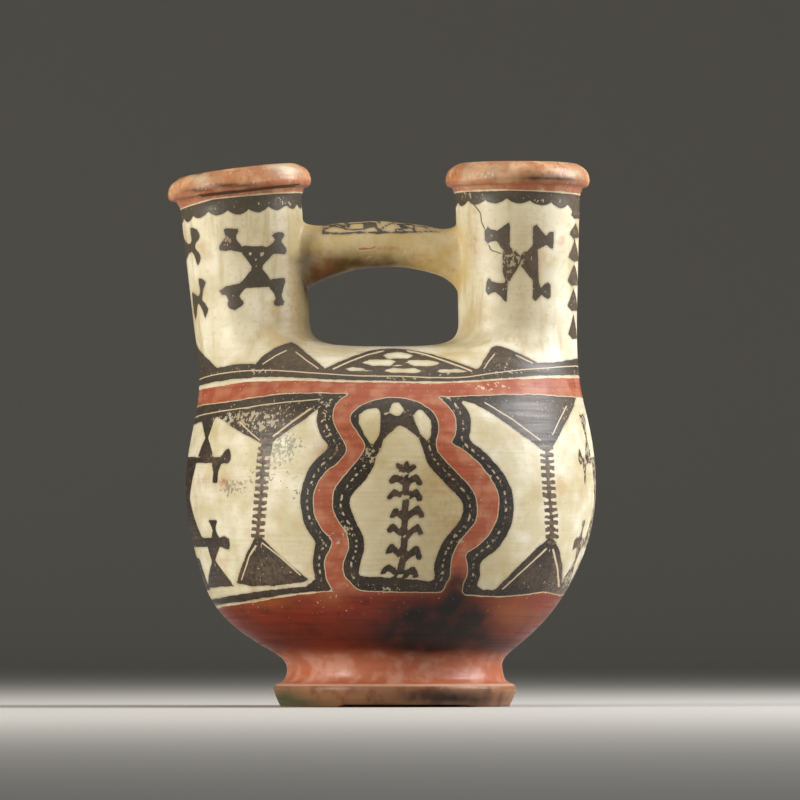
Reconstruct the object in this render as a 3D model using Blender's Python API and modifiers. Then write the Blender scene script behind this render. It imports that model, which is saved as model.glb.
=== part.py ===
"""Two-necked clay jar with a bridge handle.

A hand-built, burnished jar of one piece of fired clay: an oval body on a flanged foot parts at the
shoulder into two tubular necks with rolled lips, and a solid bar bridges the necks. The skin is a
coarse cage of rings smoothed with Subdivision Surface, lofted by hand because the oval parts in two.

Metres, +Z up. The origin is the centre of the foot's underside. +X runs from the leaning neck to the
upright one, and -Y is the front.
"""

import math

import bmesh
import bpy
import numpy as np
from mathutils import Matrix, Vector

MM = 0.001

# Whole jar
JAR_HEIGHT = 278 * MM
WALL = 6.3 * MM
FLOOR = 14 * MM

# Foot, a flange with a flat underside; FOOT_SHARPNESS is how sharp its rim is, from 0 to 1
BASE_WIDTH = 117.4 * MM
FOOT_WIDTH = 124.4 * MM
FOOT_HEIGHT = 11 * MM
FOOT_SHARPNESS = 0.5
WAIST_WIDTH = 110.6 * MM
WAIST_HEIGHT = 18 * MM

# Body, an oval that is round at the waist
BELLY_WIDTH = 210.4 * MM
BELLY_DEPTH = 188 * MM
SHOULDER_HEIGHT = 172 * MM
SHOULDER_WIDTH = 194 * MM
SHOULDER_DEPTH = 126 * MM
SADDLE_HEIGHT = 184 * MM
SADDLE_ROUNDING = 2.2

# Necks: LEAN is the axis's angle out of the vertical, LIP_TILT the lip's angle out of the level.
# NECK_SPREAD_SHARES is how far the lowest two rings reach to the front and the back over the FILLET,
# NECK_BLEND_SHARE how far up from the shoulder to the neck the ring between them sits
LEANING_NECK_WIDTH = 60.6 * MM
UPRIGHT_NECK_WIDTH = 62.0 * MM
NECK_FLARE = 1.2 * MM
LEANING_NECK_X = -71.2 * MM
LEANING_NECK_DROP = 3.5 * MM
LEAN = math.radians(5.2)
LIP_TILT = math.radians(7.2)
UPRIGHT_NECK_X = 62.9 * MM
FILLET = 13 * MM
NECK_SPREAD_SHARES = (0.42, 0.10)
NECK_BLEND_SHARE = 0.62

# Lip, a roll that stands out from the neck
LIP_WIDTH = 73.8 * MM
LIP_DROP = 8.3 * MM

# Handle, a solid bar from neck to neck, with its height at the crown and at each root.
# HANDLE_RING_SHARES are places along it and how thick it is there over HANDLE_THICKNESS
HANDLE_THICKNESS = 23.4 * MM
HANDLE_HEIGHT = 236.2 * MM
HANDLE_LEFT_HEIGHT = 229 * MM
HANDLE_RIGHT_HEIGHT = 229.5 * MM
HANDLE_ROOT = 31 * MM
HANDLE_RING_SHARES = ((0.12, 1.20), (0.34, 1.04), (0.64, 0.97), (0.88, 1.02))

# Body outline from the waist (0) to the shoulder (1): height, then the share of the way from the
# waist's half width to the belly's, the same for the depth, and the sway to the left over the width
BODY_OUTLINE_SHARES = (
    (0.039, 0.02, 0.02, 0.004),
    (0.084, 0.20, 0.23, 0.012),
    (0.150, 0.465, 0.52, 0.020),
    (0.247, 0.705, 0.78, 0.021),
    (0.390, 0.890, 0.94, 0.0125),
    (0.565, 0.998, 1.0, 0.0095),
    (0.740, 0.972, 0.93, 0.0085),
    (0.883, 0.885, 0.66, 0.0100),
)
SHOULDER_SWAY = 0.0138

# Cage
RING_STEPS = 20
SADDLE_STEPS = 6
NECK_STEPS = RING_STEPS // 2 + SADDLE_STEPS
OUTWARD_STEP = RING_STEPS // 4
INWARD_STEP = OUTWARD_STEP + NECK_STEPS // 2

CLAY_COLOUR = (0.66, 0.55, 0.36, 1.0)


def around(steps):
    """How much wider a ring of the cage is than the smooth ring that it makes."""
    return 3 / (2 + math.cos(2 * math.pi / steps))


def cage_through(points):
    """Points of a cage whose smooth curve runs through the given points and keeps both ends."""
    weights = np.eye(len(points))
    for i in range(1, len(points) - 1):
        weights[i, i - 1 : i + 2] = 1 / 6, 4 / 6, 1 / 6
    return np.linalg.solve(weights, np.array(points, float))


def oval(centre, half_width, half_depth, steps=RING_STEPS):
    """Points of a level ring, anticlockwise from above, the first one at the front."""
    grow = around(steps)
    points = []
    for i in range(steps):
        angle = 2 * math.pi * i / steps
        offset = Vector((half_width * math.sin(angle), -half_depth * math.cos(angle), 0))
        points.append(Vector(centre) + grow * offset)
    return points


class Neck:
    """One neck: where its axis runs and how its rings lie."""

    def __init__(self, side, x, width, lean, lip_tilt, top):
        self.side = side
        self.x = x
        self.width = width
        self.lean = lean
        self.lip_tilt = lip_tilt
        self.top = top

    def rise(self, height):
        """Share of the way from the shoulder to the lip's crest."""
        return (height - SHOULDER_HEIGHT) / (self.top - SHOULDER_HEIGHT)

    def radius(self, height):
        """Outer radius, which grows by NECK_FLARE each way from the middle."""
        return self.width / 2 + NECK_FLARE * (2 * self.rise(height) - 1)

    def ring(self, height, radius, deepening=0):
        """Ring round the axis, its outermost point at OUTWARD_STEP.

        deepening is how much further than the radius it reaches to the front and the back."""
        out = math.pi if self.side < 0 else 0
        tilt = Matrix.Rotation(self.side * self.lip_tilt * self.rise(height), 3, "Y")
        centre = Vector(
            (self.x + self.side * math.tan(self.lean) * (height - SHOULDER_HEIGHT), 0, height)
        )
        reach = radius * around(NECK_STEPS)
        points = []
        for i in range(NECK_STEPS):
            angle = out + 2 * math.pi * (i - OUTWARD_STEP) / NECK_STEPS
            offset = Vector((reach * math.cos(angle), (reach + deepening) * math.sin(angle), 0))
            points.append(centre + tilt @ offset)
        return points


LEANING_NECK = Neck(
    -1, LEANING_NECK_X, LEANING_NECK_WIDTH, LEAN, LIP_TILT, JAR_HEIGHT - LEANING_NECK_DROP
)
UPRIGHT_NECK = Neck(1, UPRIGHT_NECK_X, UPRIGHT_NECK_WIDTH, 0, 0, JAR_HEIGHT)


def mix(start, end, share):
    return start + (end - start) * share


def outer_rows():
    """Rows (height, half width, half depth, centre x) from the underside's edge to the shoulder."""
    foot = (
        (0, BASE_WIDTH),
        (0.38 * FOOT_HEIGHT, mix(BASE_WIDTH, FOOT_WIDTH, 0.66)),
        (0.75 * FOOT_HEIGHT, FOOT_WIDTH),
        (FOOT_HEIGHT, mix(FOOT_WIDTH, WAIST_WIDTH, 0.4)),
        (mix(FOOT_HEIGHT, WAIST_HEIGHT, 0.3), mix(FOOT_WIDTH, WAIST_WIDTH, 0.8)),
        (WAIST_HEIGHT, WAIST_WIDTH),
    )
    rows = [(height, width / 2, width / 2, 0) for height, width in foot]
    for rise, width_share, depth_share, sway in BODY_OUTLINE_SHARES:
        rows.append(
            (
                mix(WAIST_HEIGHT, SHOULDER_HEIGHT, rise),
                mix(WAIST_WIDTH, BELLY_WIDTH, width_share) / 2,
                mix(WAIST_WIDTH, BELLY_DEPTH, depth_share) / 2,
                -sway * BELLY_WIDTH,
            )
        )
    rows.append(
        (SHOULDER_HEIGHT, SHOULDER_WIDTH / 2, SHOULDER_DEPTH / 2, -SHOULDER_SWAY * BELLY_WIDTH)
    )
    return rows


def saddle(front, back):
    """Points over the saddle between the necks, from front to back, without the two ends."""
    middle_x = (LEANING_NECK.x + UPRIGHT_NECK.x) / 2
    points = []
    for i in range(1, SADDLE_STEPS):
        along = 2 * i / SADDLE_STEPS - 1
        point = front.lerp(back, i / SADDLE_STEPS)
        point.x = mix(point.x, middle_x, 1 - along * along)
        point.z = mix(SADDLE_HEIGHT, front.z, abs(along) ** SADDLE_ROUNDING)
        points.append(point)
    return points


class Cage:
    """The jar's cage mesh, built ring by ring."""

    def __init__(self):
        self.bm = bmesh.new()
        self.lining = {}

    def ring(self, points):
        return [self.bm.verts.new(point) for point in points]

    def skin(self, lower, upper):
        """Band of faces between two closed rings with as many points."""
        count = len(lower)
        for i in range(count):
            j = (i + 1) % count
            self.bm.faces.new((lower[i], lower[j], upper[j], upper[i]))

    def loft(self, rings):
        for lower, upper in zip(rings, rings[1:]):
            self.skin(lower, upper)

    def lined(self, ring):
        """Ring of the lining, WALL inside the given ring of the outer skin."""
        for v in ring:
            if v not in self.lining:
                self.lining[v] = self.bm.verts.new(v.co - WALL * v.normal)
        return [self.lining[v] for v in ring]

    def body(self):
        """Outer skin from the foot's edge to the shoulder. Returns its rings."""
        rings = [
            self.ring(oval((centre_x, 0, height), half_width, half_depth))
            for height, half_width, half_depth, centre_x in cage_through(outer_rows())
        ]
        self.loft(rings)
        return rings

    def part_at_shoulder(self, shoulder):
        """Parts the shoulder ring in two loops by a row of points over the saddle."""
        back = RING_STEPS // 2
        over = self.ring(saddle(shoulder[0].co, shoulder[back].co))
        return {
            LEANING_NECK: shoulder[back:] + shoulder[:1] + over,
            UPRIGHT_NECK: shoulder[: back + 1] + over[::-1],
        }

    def neck(self, neck, loop):
        """Outer skin of one neck, from a loop of the shoulder up, and its lip.

        Returns the rings of the blend and of the tube, and the lip's innermost ring."""
        handle = HANDLE_LEFT_HEIGHT if neck.side < 0 else HANDLE_RIGHT_HEIGHT
        foot = SADDLE_HEIGHT + FILLET * 0.2
        heights = (
            foot,
            foot + FILLET * 0.8,
            handle - HANDLE_ROOT / 2,
            handle,
            handle + HANDLE_ROOT / 2,
            neck.top - 2.2 * LIP_DROP,
        )
        profile = [(neck.radius(height), height) for height in heights]
        mouth = neck.radius(neck.top)
        reach = LIP_WIDTH / 2 - mouth
        profile += [
            (mouth + out, neck.top - drop)
            for out, drop in (
                (reach * 0.33, LIP_DROP * 1.5),
                (reach, LIP_DROP),
                (reach * 0.88, LIP_DROP * 0.45),
                (reach * 0.34, LIP_DROP * 0.10),
                (-WALL * 0.16, 0),
                (-WALL * 0.65, LIP_DROP * 0.24),
                (-WALL, LIP_DROP * 0.9),
                (-WALL, LIP_DROP * 2.4),
            )
        ]
        spread = [FILLET * share for share in NECK_SPREAD_SHARES]
        spread += [0] * (len(profile) - len(spread))
        rings = [
            self.ring(neck.ring(height, radius, deepening))
            for (radius, height), deepening in zip(cage_through(profile), spread)
        ]
        blend = self.ring(low.co.lerp(high.co, NECK_BLEND_SHARE) for low, high in zip(loop, rings[0]))
        self.loft([loop, blend] + rings)
        return [blend] + rings[: len(heights)], rings[-1]

    def line(self, body, loops, tubes, throats):
        """Lining of the cavity: the floor, the body above its waist and the necks up to the handle."""
        above_waist = body[-len(BODY_OUTLINE_SHARES) :]
        rings = [self.lined(ring) for ring in above_waist]
        floor = WAIST_WIDTH / 2 - 2.8 * WALL
        edge = self.ring(oval((0, 0, FLOOR + 0.25 * WALL), floor, floor))
        middle = self.ring(oval((0, 0, FLOOR), floor / 2, floor / 2))
        self.loft([middle, edge] + rings)
        self.cap(middle)
        for neck, tube in tubes.items():
            blend, foot, above_foot, _, handle = tube[:5]
            rings = [self.lined(ring) for ring in (loops[neck], blend, foot, above_foot, handle)]
            self.loft(rings + [throats[neck]])

    def open_for_handle(self, rings, side):
        """Takes away the faces that the handle covers and returns the hole's edge.

        The edge runs from the front's lower corner along the underside to the back."""
        columns = [ring[INWARD_STEP - 1 : INWARD_STEP + 2] for ring in rings]
        if side > 0:
            columns = [column[::-1] for column in columns]
        low, middle, high = columns
        bmesh.ops.delete(self.bm, geom=[middle[1]], context="VERTS")
        return low + [middle[2]] + high[::-1] + [middle[0]]

    def handle(self, left_edge, right_edge):
        """The bar between the two holes: octagons carried along an arch."""
        steps = len(left_edge)
        start = sum((v.co for v in left_edge), Vector()) / steps
        end = sum((v.co for v in right_edge), Vector()) / steps
        rings = [left_edge]
        for share, swelling in HANDLE_RING_SHARES:
            centre = start.lerp(end, share)
            arch = HANDLE_HEIGHT - (start.z + end.z) / 2
            centre.z += arch * (1 - (2 * share - 1) ** 2) / (1 - (2 * HANDLE_RING_SHARES[1][0] - 1) ** 2)
            reach = swelling * HANDLE_THICKNESS / 2 * around(steps)
            points = []
            for i in range(steps):
                angle = math.radians(225) + 2 * math.pi * i / steps
                points.append(centre + Vector((0, reach * math.cos(angle), reach * math.sin(angle))))
            rings.append(self.ring(points))
        rings.append(right_edge)
        self.loft(rings)

    def cap(self, ring):
        self.bm.faces.new(ring)

    def crease(self, ring, sharpness=1.0):
        """Keeps a ring sharp when the cage is smoothed."""
        layers = self.bm.edges.layers.float
        layer = layers.get("crease_edge") or layers.new("crease_edge")
        for start, end in zip(ring, ring[1:] + ring[:1]):
            self.bm.edges.get((start, end))[layer] = sharpness

    def mesh(self, name):
        bmesh.ops.recalc_face_normals(self.bm, faces=self.bm.faces)
        mesh = bpy.data.meshes.new(name)
        self.bm.to_mesh(mesh)
        self.bm.free()
        return mesh


def jar_mesh():
    cage = Cage()
    body = cage.body()
    underside = cage.ring(oval((0, 0, 0), BASE_WIDTH / 4, BASE_WIDTH / 4))
    cage.skin(underside, body[0])
    cage.cap(underside)
    cage.crease(body[0])
    cage.crease(body[2], FOOT_SHARPNESS)

    loops = cage.part_at_shoulder(body[-1])
    tubes, throats = {}, {}
    for neck, loop in loops.items():
        tubes[neck], throats[neck] = cage.neck(neck, loop)
    cage.bm.normal_update()
    cage.line(body, loops, tubes, throats)

    holes = [cage.open_for_handle(tube[3:6], neck.side) for neck, tube in tubes.items()]
    cage.handle(*holes)
    return cage.mesh("two_necked_jar")


def clay():
    """Burnished slip over fired clay."""
    material = bpy.data.materials.new("painted_clay")
    material.use_nodes = True
    shader = material.node_tree.nodes["Principled BSDF"]
    shader.inputs["Base Color"].default_value = CLAY_COLOUR
    shader.inputs["Roughness"].default_value = 0.4
    shader.inputs["Metallic"].default_value = 0.0
    return material


def main():
    for obj in list(bpy.data.objects):
        bpy.data.objects.remove(obj)
    collection = bpy.data.collections.new("Two-necked jar")
    bpy.context.scene.collection.children.link(collection)
    mesh = jar_mesh()
    mesh.materials.append(clay())
    mesh.shade_smooth()
    jar = bpy.data.objects.new("jar", mesh)
    collection.objects.link(jar)
    smooth = jar.modifiers.new("Smooth form", "SUBSURF")
    smooth.levels = 1
    smooth.render_levels = 1


main()
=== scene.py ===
"""The looks of a double-necked jar of painted, burnished clay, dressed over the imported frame.

Shapes are worked out in millimetres and put into a mesh in metres. The origin is the centre of the foot's
underside, +Z is up, +X runs towards the upright neck and -Y towards the painted front.
"""

import logging
import math
from dataclasses import dataclass, field
from enum import Enum

import bmesh
import bpy
import numpy as np
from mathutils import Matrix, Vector


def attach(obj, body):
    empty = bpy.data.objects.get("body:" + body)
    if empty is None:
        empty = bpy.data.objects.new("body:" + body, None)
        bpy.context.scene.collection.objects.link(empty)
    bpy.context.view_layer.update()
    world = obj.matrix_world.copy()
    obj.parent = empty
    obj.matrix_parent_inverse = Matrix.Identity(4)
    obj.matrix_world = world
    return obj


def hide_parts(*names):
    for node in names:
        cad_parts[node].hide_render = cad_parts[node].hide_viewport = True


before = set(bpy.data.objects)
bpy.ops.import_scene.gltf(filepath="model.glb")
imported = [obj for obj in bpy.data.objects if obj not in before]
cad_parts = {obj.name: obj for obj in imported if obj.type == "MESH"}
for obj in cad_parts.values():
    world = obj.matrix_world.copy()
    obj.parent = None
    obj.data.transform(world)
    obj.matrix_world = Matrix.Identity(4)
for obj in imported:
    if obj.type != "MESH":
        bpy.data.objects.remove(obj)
log = logging.getLogger("jar")

MM = 0.001
WALL = 6.3
SHOULDER_HEIGHT = 172.0
Array, Socket = np.ndarray, bpy.types.NodeSocket
Sockets = dict[str, Socket]

MATH, RANGE, MIX, SPLIT = "ShaderNodeMath", "ShaderNodeMapRange", "ShaderNodeMix", "ShaderNodeSeparateXYZ"
NOISE, MAPPING, PLACE = "ShaderNodeTexNoise", "ShaderNodeMapping", "ShaderNodeTexCoord"
LAYER, BUMP = "ShaderNodeAttribute", "ShaderNodeBump"
SMOOTH, COLOURS = {"interpolation_type": "SMOOTHSTEP"}, {"data_type": "RGBA"}
TIMES, PLUS, MINUS = {"operation": "MULTIPLY"}, {"operation": "ADD"}, {"operation": "SUBTRACT"}
TIMES_PLUS, MOST = {"operation": "MULTIPLY_ADD"}, {"operation": "MAXIMUM"}
SIZE, PART = {"operation": "ABSOLUTE"}, {"operation": "FRACT"}
UNMOVED = ((0, 0, 0), (0, 0, 0))
LINES = ("hairline", "band_line", "cracks_and_groove_shade")
# The marks' layers also carry painted shade and sheen.
LAYERS = ("paint", *LINES, "place", "stains_and_shade", "age", "dash")


def spline_through(points: Array, at: Array) -> Array:
    """Smooth curve through rows of points, a uniform cubic B-spline.

    The cage solves (c[i-1] + 4 c[i] + c[i+1]) / 6 = p[i] inside and keeps both ends, and each stretch is
    ((1-f)^3 c0 + (3f^3 - 6f^2 + 4) c1 + (-3f^3 + 3f^2 + 3f + 1) c2 + f^3 c3) / 6.

    Args:
        points: Rows to run through, any shape after the first axis.
        at: Row numbers, whole or between, where the curve is wanted.

    Returns:
        One row for each entry of at.
    """
    count = len(points)
    inner = np.arange(1, count - 1)
    weights = np.eye(count)
    weights[inner, inner - 1] = weights[inner, inner + 1] = 1 / 6
    weights[inner, inner] = 4 / 6
    cage = np.linalg.solve(weights, points.reshape(count, -1))
    cage = np.vstack([2 * cage[:1] - cage[1:2], cage, 2 * cage[-1:] - cage[-2:-1]])
    start = np.clip(at.astype(int), 0, count - 2)
    f = (at - start)[:, None]
    basis = ((1 - f) ** 3, 3 * f**3 - 6 * f**2 + 4, -3 * f**3 + 3 * f**2 + 3 * f + 1, f**3)
    curve = sum(share * cage[start + i] for i, share in enumerate(basis)) / 6
    return curve.reshape((len(at),) + points.shape[1:])


def evenly(line: Array, spacing: Array) -> Array:
    """Row numbers along a finely sampled line, apart by the spacing wanted at each place.

    The sum of step length / spacing is rounded to a whole number and cut in equal parts.

    Args:
        line: Points of the line, close together.
        spacing: Wanted distance between rows at each of those points.

    Returns:
        Places on the line, as shares of its points from 0 to 1.
    """
    steps = np.linalg.norm(np.diff(line, axis=0), axis=1)
    count = np.concatenate([[0], np.cumsum(steps / (0.5 * (spacing[1:] + spacing[:-1])))])
    wanted = np.linspace(0, count[-1], int(round(count[-1])) + 1)
    return np.interp(wanted, count, np.linspace(0, 1, len(line)))


def smooth_step(low: float, high: float, value: Array) -> Array:
    """0 below low, 1 above high and 3t^2 - 2t^3 between them."""
    t = np.clip((value - low) / (high - low), 0, 1)
    return t * t * (3 - 2 * t)


def unit(vectors: Array) -> Array:
    """The vectors at length 1."""
    return vectors / np.maximum(np.linalg.norm(vectors, axis=-1, keepdims=True), 1e-9)


def cubic(t: Array) -> tuple[Array, Array, Array, Array]:
    """Shares in a cubic at t of its start, its slope there, its end and its slope there."""
    return 2 * t**3 - 3 * t**2 + 1, t**3 - 2 * t**2 + t, 3 * t**2 - 2 * t**3, t**3 - t**2


def hermite(start: Array, end: Array, pull_start: Array, pull_end: Array, shares: Array) -> Array:
    """Rows of a cubic from start to end, leaving along pull_start and arriving along pull_end.

    Args:
        start: Points that the rows leave.
        end: Points that they reach.
        pull_start: Slope at the start.
        pull_end: Slope at the end.
        shares: How far along each row lies, from 0 to 1.

    Returns:
        One row of points for each share.
    """
    parts = (start, pull_start, end, pull_end)
    return sum(share * part for share, part in zip(cubic(shares[:, None, None]), parts))


def disc_ring(angle: Array, radius: float, height: float) -> Array:
    """A level ring round the origin: (radius sin a, -radius cos a, height)."""
    return np.stack([radius * np.sin(angle), -radius * np.cos(angle), 0 * angle + height], -1)


class Skin:
    """Points and faces of one closed surface, gathered ring by ring."""

    def __init__(self) -> None:
        """Starts with nothing."""
        self.points: list[Array] = []
        self.zones: list[Array] = []
        self.faces: list[Array] = []
        self.count = 0

    def add(self, points: Array, zone: "Zone") -> Array:
        """Adds points of one zone and numbers them in the same shape.

        Args:
            points: Points, x, y and z last.
            zone: Their part of the jar.

        Returns:
            Their numbers.
        """
        flat = points.reshape(-1, 3)
        numbers = np.arange(self.count, self.count + len(flat)).reshape(points.shape[:-1])
        self.points.append(flat)
        self.zones.append(np.full(len(flat), zone.value))
        self.count += len(flat)
        return numbers

    def loft(self, rows: Array, keep: Array | None = None) -> None:
        """Adds four-sided faces between closed rings.

        Args:
            rows: Rings of point numbers.
            keep: Which faces to make; all if left out.
        """
        after = np.roll(rows, -1, axis=1)
        quads = np.stack([rows[:-1], after[:-1], after[1:], rows[1:]], axis=-1)
        self.faces.append(quads[keep] if keep is not None else quads.reshape(-1, 4))

    def halve(self, fine: Array, coarse: Array) -> None:
        """Adds triangles between a ring and the next one, which has half as many points.

        Args:
            fine: The ring's point numbers.
            coarse: The next ring's.
        """
        first, middle, last = fine[0::2], fine[1::2], np.roll(fine, -1)[1::2]
        after = np.roll(coarse, -1)
        for corners in ((first, middle, coarse), (middle, after, coarse), (middle, last, after)):
            self.faces.append(np.stack(corners, axis=-1))

    def cap(self, ring: Array, pole: int, down: bool) -> None:
        """Adds a fan of triangles from a ring to a pole.

        Args:
            ring: The ring's point numbers.
            pole: The pole's number.
            down: Whether it faces down.
        """
        after = np.roll(ring, -1)
        corners = (after, ring) if down else (ring, after)
        self.faces.append(np.stack([*corners, np.full(len(ring), pole)], axis=-1))

    def normals(self) -> Array:
        """A unit normal at each point so far, the sum of its faces' cross products.

        Returns:
            One row for each point.
        """
        points = np.concatenate(self.points)
        sums = np.zeros_like(points)
        for faces in self.faces:
            corners = points[faces]
            if faces.shape[1] == 4:
                cross = np.cross(corners[:, 2] - corners[:, 0], corners[:, 3] - corners[:, 1])
            else:
                cross = np.cross(corners[:, 1] - corners[:, 0], corners[:, 2] - corners[:, 0])
            for corner in faces.T:
                for axis in range(3):
                    sums[:, axis] += np.bincount(corner, cross[:, axis], len(points))
        return unit(sums)

    def packed(self) -> tuple[Array, Array, list[Array]]:
        """The points that a face uses, their zones and the faces, numbered afresh.

        Returns:
            Points, zones and groups of faces.
        """
        used = np.unique(np.concatenate([faces.ravel() for faces in self.faces]))
        renumber = np.zeros(self.count, int)
        renumber[used] = np.arange(len(used))
        points, zones = np.concatenate(self.points), np.concatenate(self.zones)
        return points[used], zones[used], [renumber[faces] for faces in self.faces]


class Zone(Enum):
    """Which part of the jar a point of the skin belongs to."""

    BODY = 0
    LEANING_NECK = 1
    UPRIGHT_NECK = 2
    HANDLE = 3
    INSIDE = 4
    UNDERSIDE = 5


@dataclass
class Body:
    """Foot, bowl and shoulder: ovals stacked on the foot's disc.

    A ring's point at angle a, 0 at the front, is (centre + half width sin a, -half depth cos a, height).
    """

    columns: int = 320
    crowding: float = 0.35
    foot_rows: tuple = (
        (0, 58.6), (4.2, 60.6), (8.0, 62.0), (10.3, 61.9), (11.9, 59.6), (13.8, 56.7), (18, 55.3),
    )
    rows: tuple = (
        (24.0, 56.3, 56.1, -0.8),
        (30.9, 65.3, 64.2, -2.5),
        (41.1, 78.5, 75.4, -4.2),
        (56.0, 90.5, 85.5, -4.4),
        (78.1, 99.7, 91.7, -2.6),
        (105.0, 105.1, 94.0, -2.0),
        (132.0, 103.8, 91.3, -1.8),
        (154.0, 99.5, 80.8, -2.1),
    )
    shoulder: tuple = (SHOULDER_HEIGHT, 97.35, 61.0, -3.05)
    saddle_rise: float = 12.3
    saddle_rounding: float = 2.7
    saddle_x: float = -4.15
    saddle_points: int = 55

    def angles(self) -> Array:
        """Angles of the columns from the back round by the left, closer together at the front.

        Returns:
            One angle for each column.
        """
        dense = np.linspace(-math.pi, math.pi, 4001)
        count = np.concatenate([[0], np.cumsum(np.diff(dense) * (1 + self.crowding * np.cos(dense[1:])))])
        return np.interp(np.arange(self.columns) / self.columns, count / count[-1], dense)

    def guides(self, angle: Array) -> Array:
        """The rings that the outer skin runs through, and one past the shoulder that sets its slope.

        The last ring lies up the slope from the shoulder, which is 32 degrees at the front and back and
        steepens to upright at the sides, 32 + 60 |sin a|^2.17 degrees.

        Args:
            angle: The columns' angles.

        Returns:
            Rings of points, lowest first.
        """
        rings = []
        for height, half_width, half_depth, centre in (
            *((height, radius, radius, 0.0) for height, radius in self.foot_rows),
            *self.rows,
            self.shoulder,
        ):
            x, y = centre + half_width * np.sin(angle), -half_depth * np.cos(angle)
            rings.append(np.stack([x, y, np.full_like(angle, height)], axis=-1))
        _, half_width, half_depth, _ = self.shoulder
        inward = unit(np.stack([-np.sin(angle) / half_width, np.cos(angle) / half_depth, 0 * angle], axis=-1))
        side = np.abs(np.sin(angle)) ** 2.17
        slope = np.radians(32 + np.where(angle < 0, 61, 53) * side)[:, None]
        reach = (24 - 6 * side)[:, None]
        rings.append(rings[-1] + reach * (inward * np.cos(slope) + np.array([0, 0, 1.0]) * np.sin(slope)))
        return np.array(rings)

    def grid(self) -> tuple[Array, Array]:
        """The outer skin's points, row by row up to the shoulder, and its upward slope there.

        Returns:
            The rows, and a unit slope for each point of the last.
        """
        angle = self.angles()
        guides = self.guides(angle)
        top = len(guides) - 2
        dense = np.linspace(0, top, 3000)
        front = spline_through(guides[:, self.columns // 2], dense)
        spacing = np.interp(front[:, 2], (0, 16, 22, 50, 56, 172), (1.6, 1.6, 3.4, 3.4, 1.7, 1.6))
        rows = spline_through(guides, top * evenly(front, spacing))
        step = spline_through(guides, np.array([top - 0.01, top]))
        return rows, unit(step[1] - step[0])

    def saddle(self) -> Array:
        """The crest between the necks from front to back: z = shoulder + rise (1 - |y / depth|^2.7).

        Returns:
            The crest's points without its ends.
        """
        height, _, half_depth, centre = self.shoulder
        along = np.linspace(-1, 1, self.saddle_points + 2)[1:-1]
        x = centre + (self.saddle_x - centre) * (1 - along**2)
        z = height + self.saddle_rise * (1 - np.abs(along) ** self.saddle_rounding)
        return np.stack([x, half_depth * along, z], axis=-1)


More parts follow.
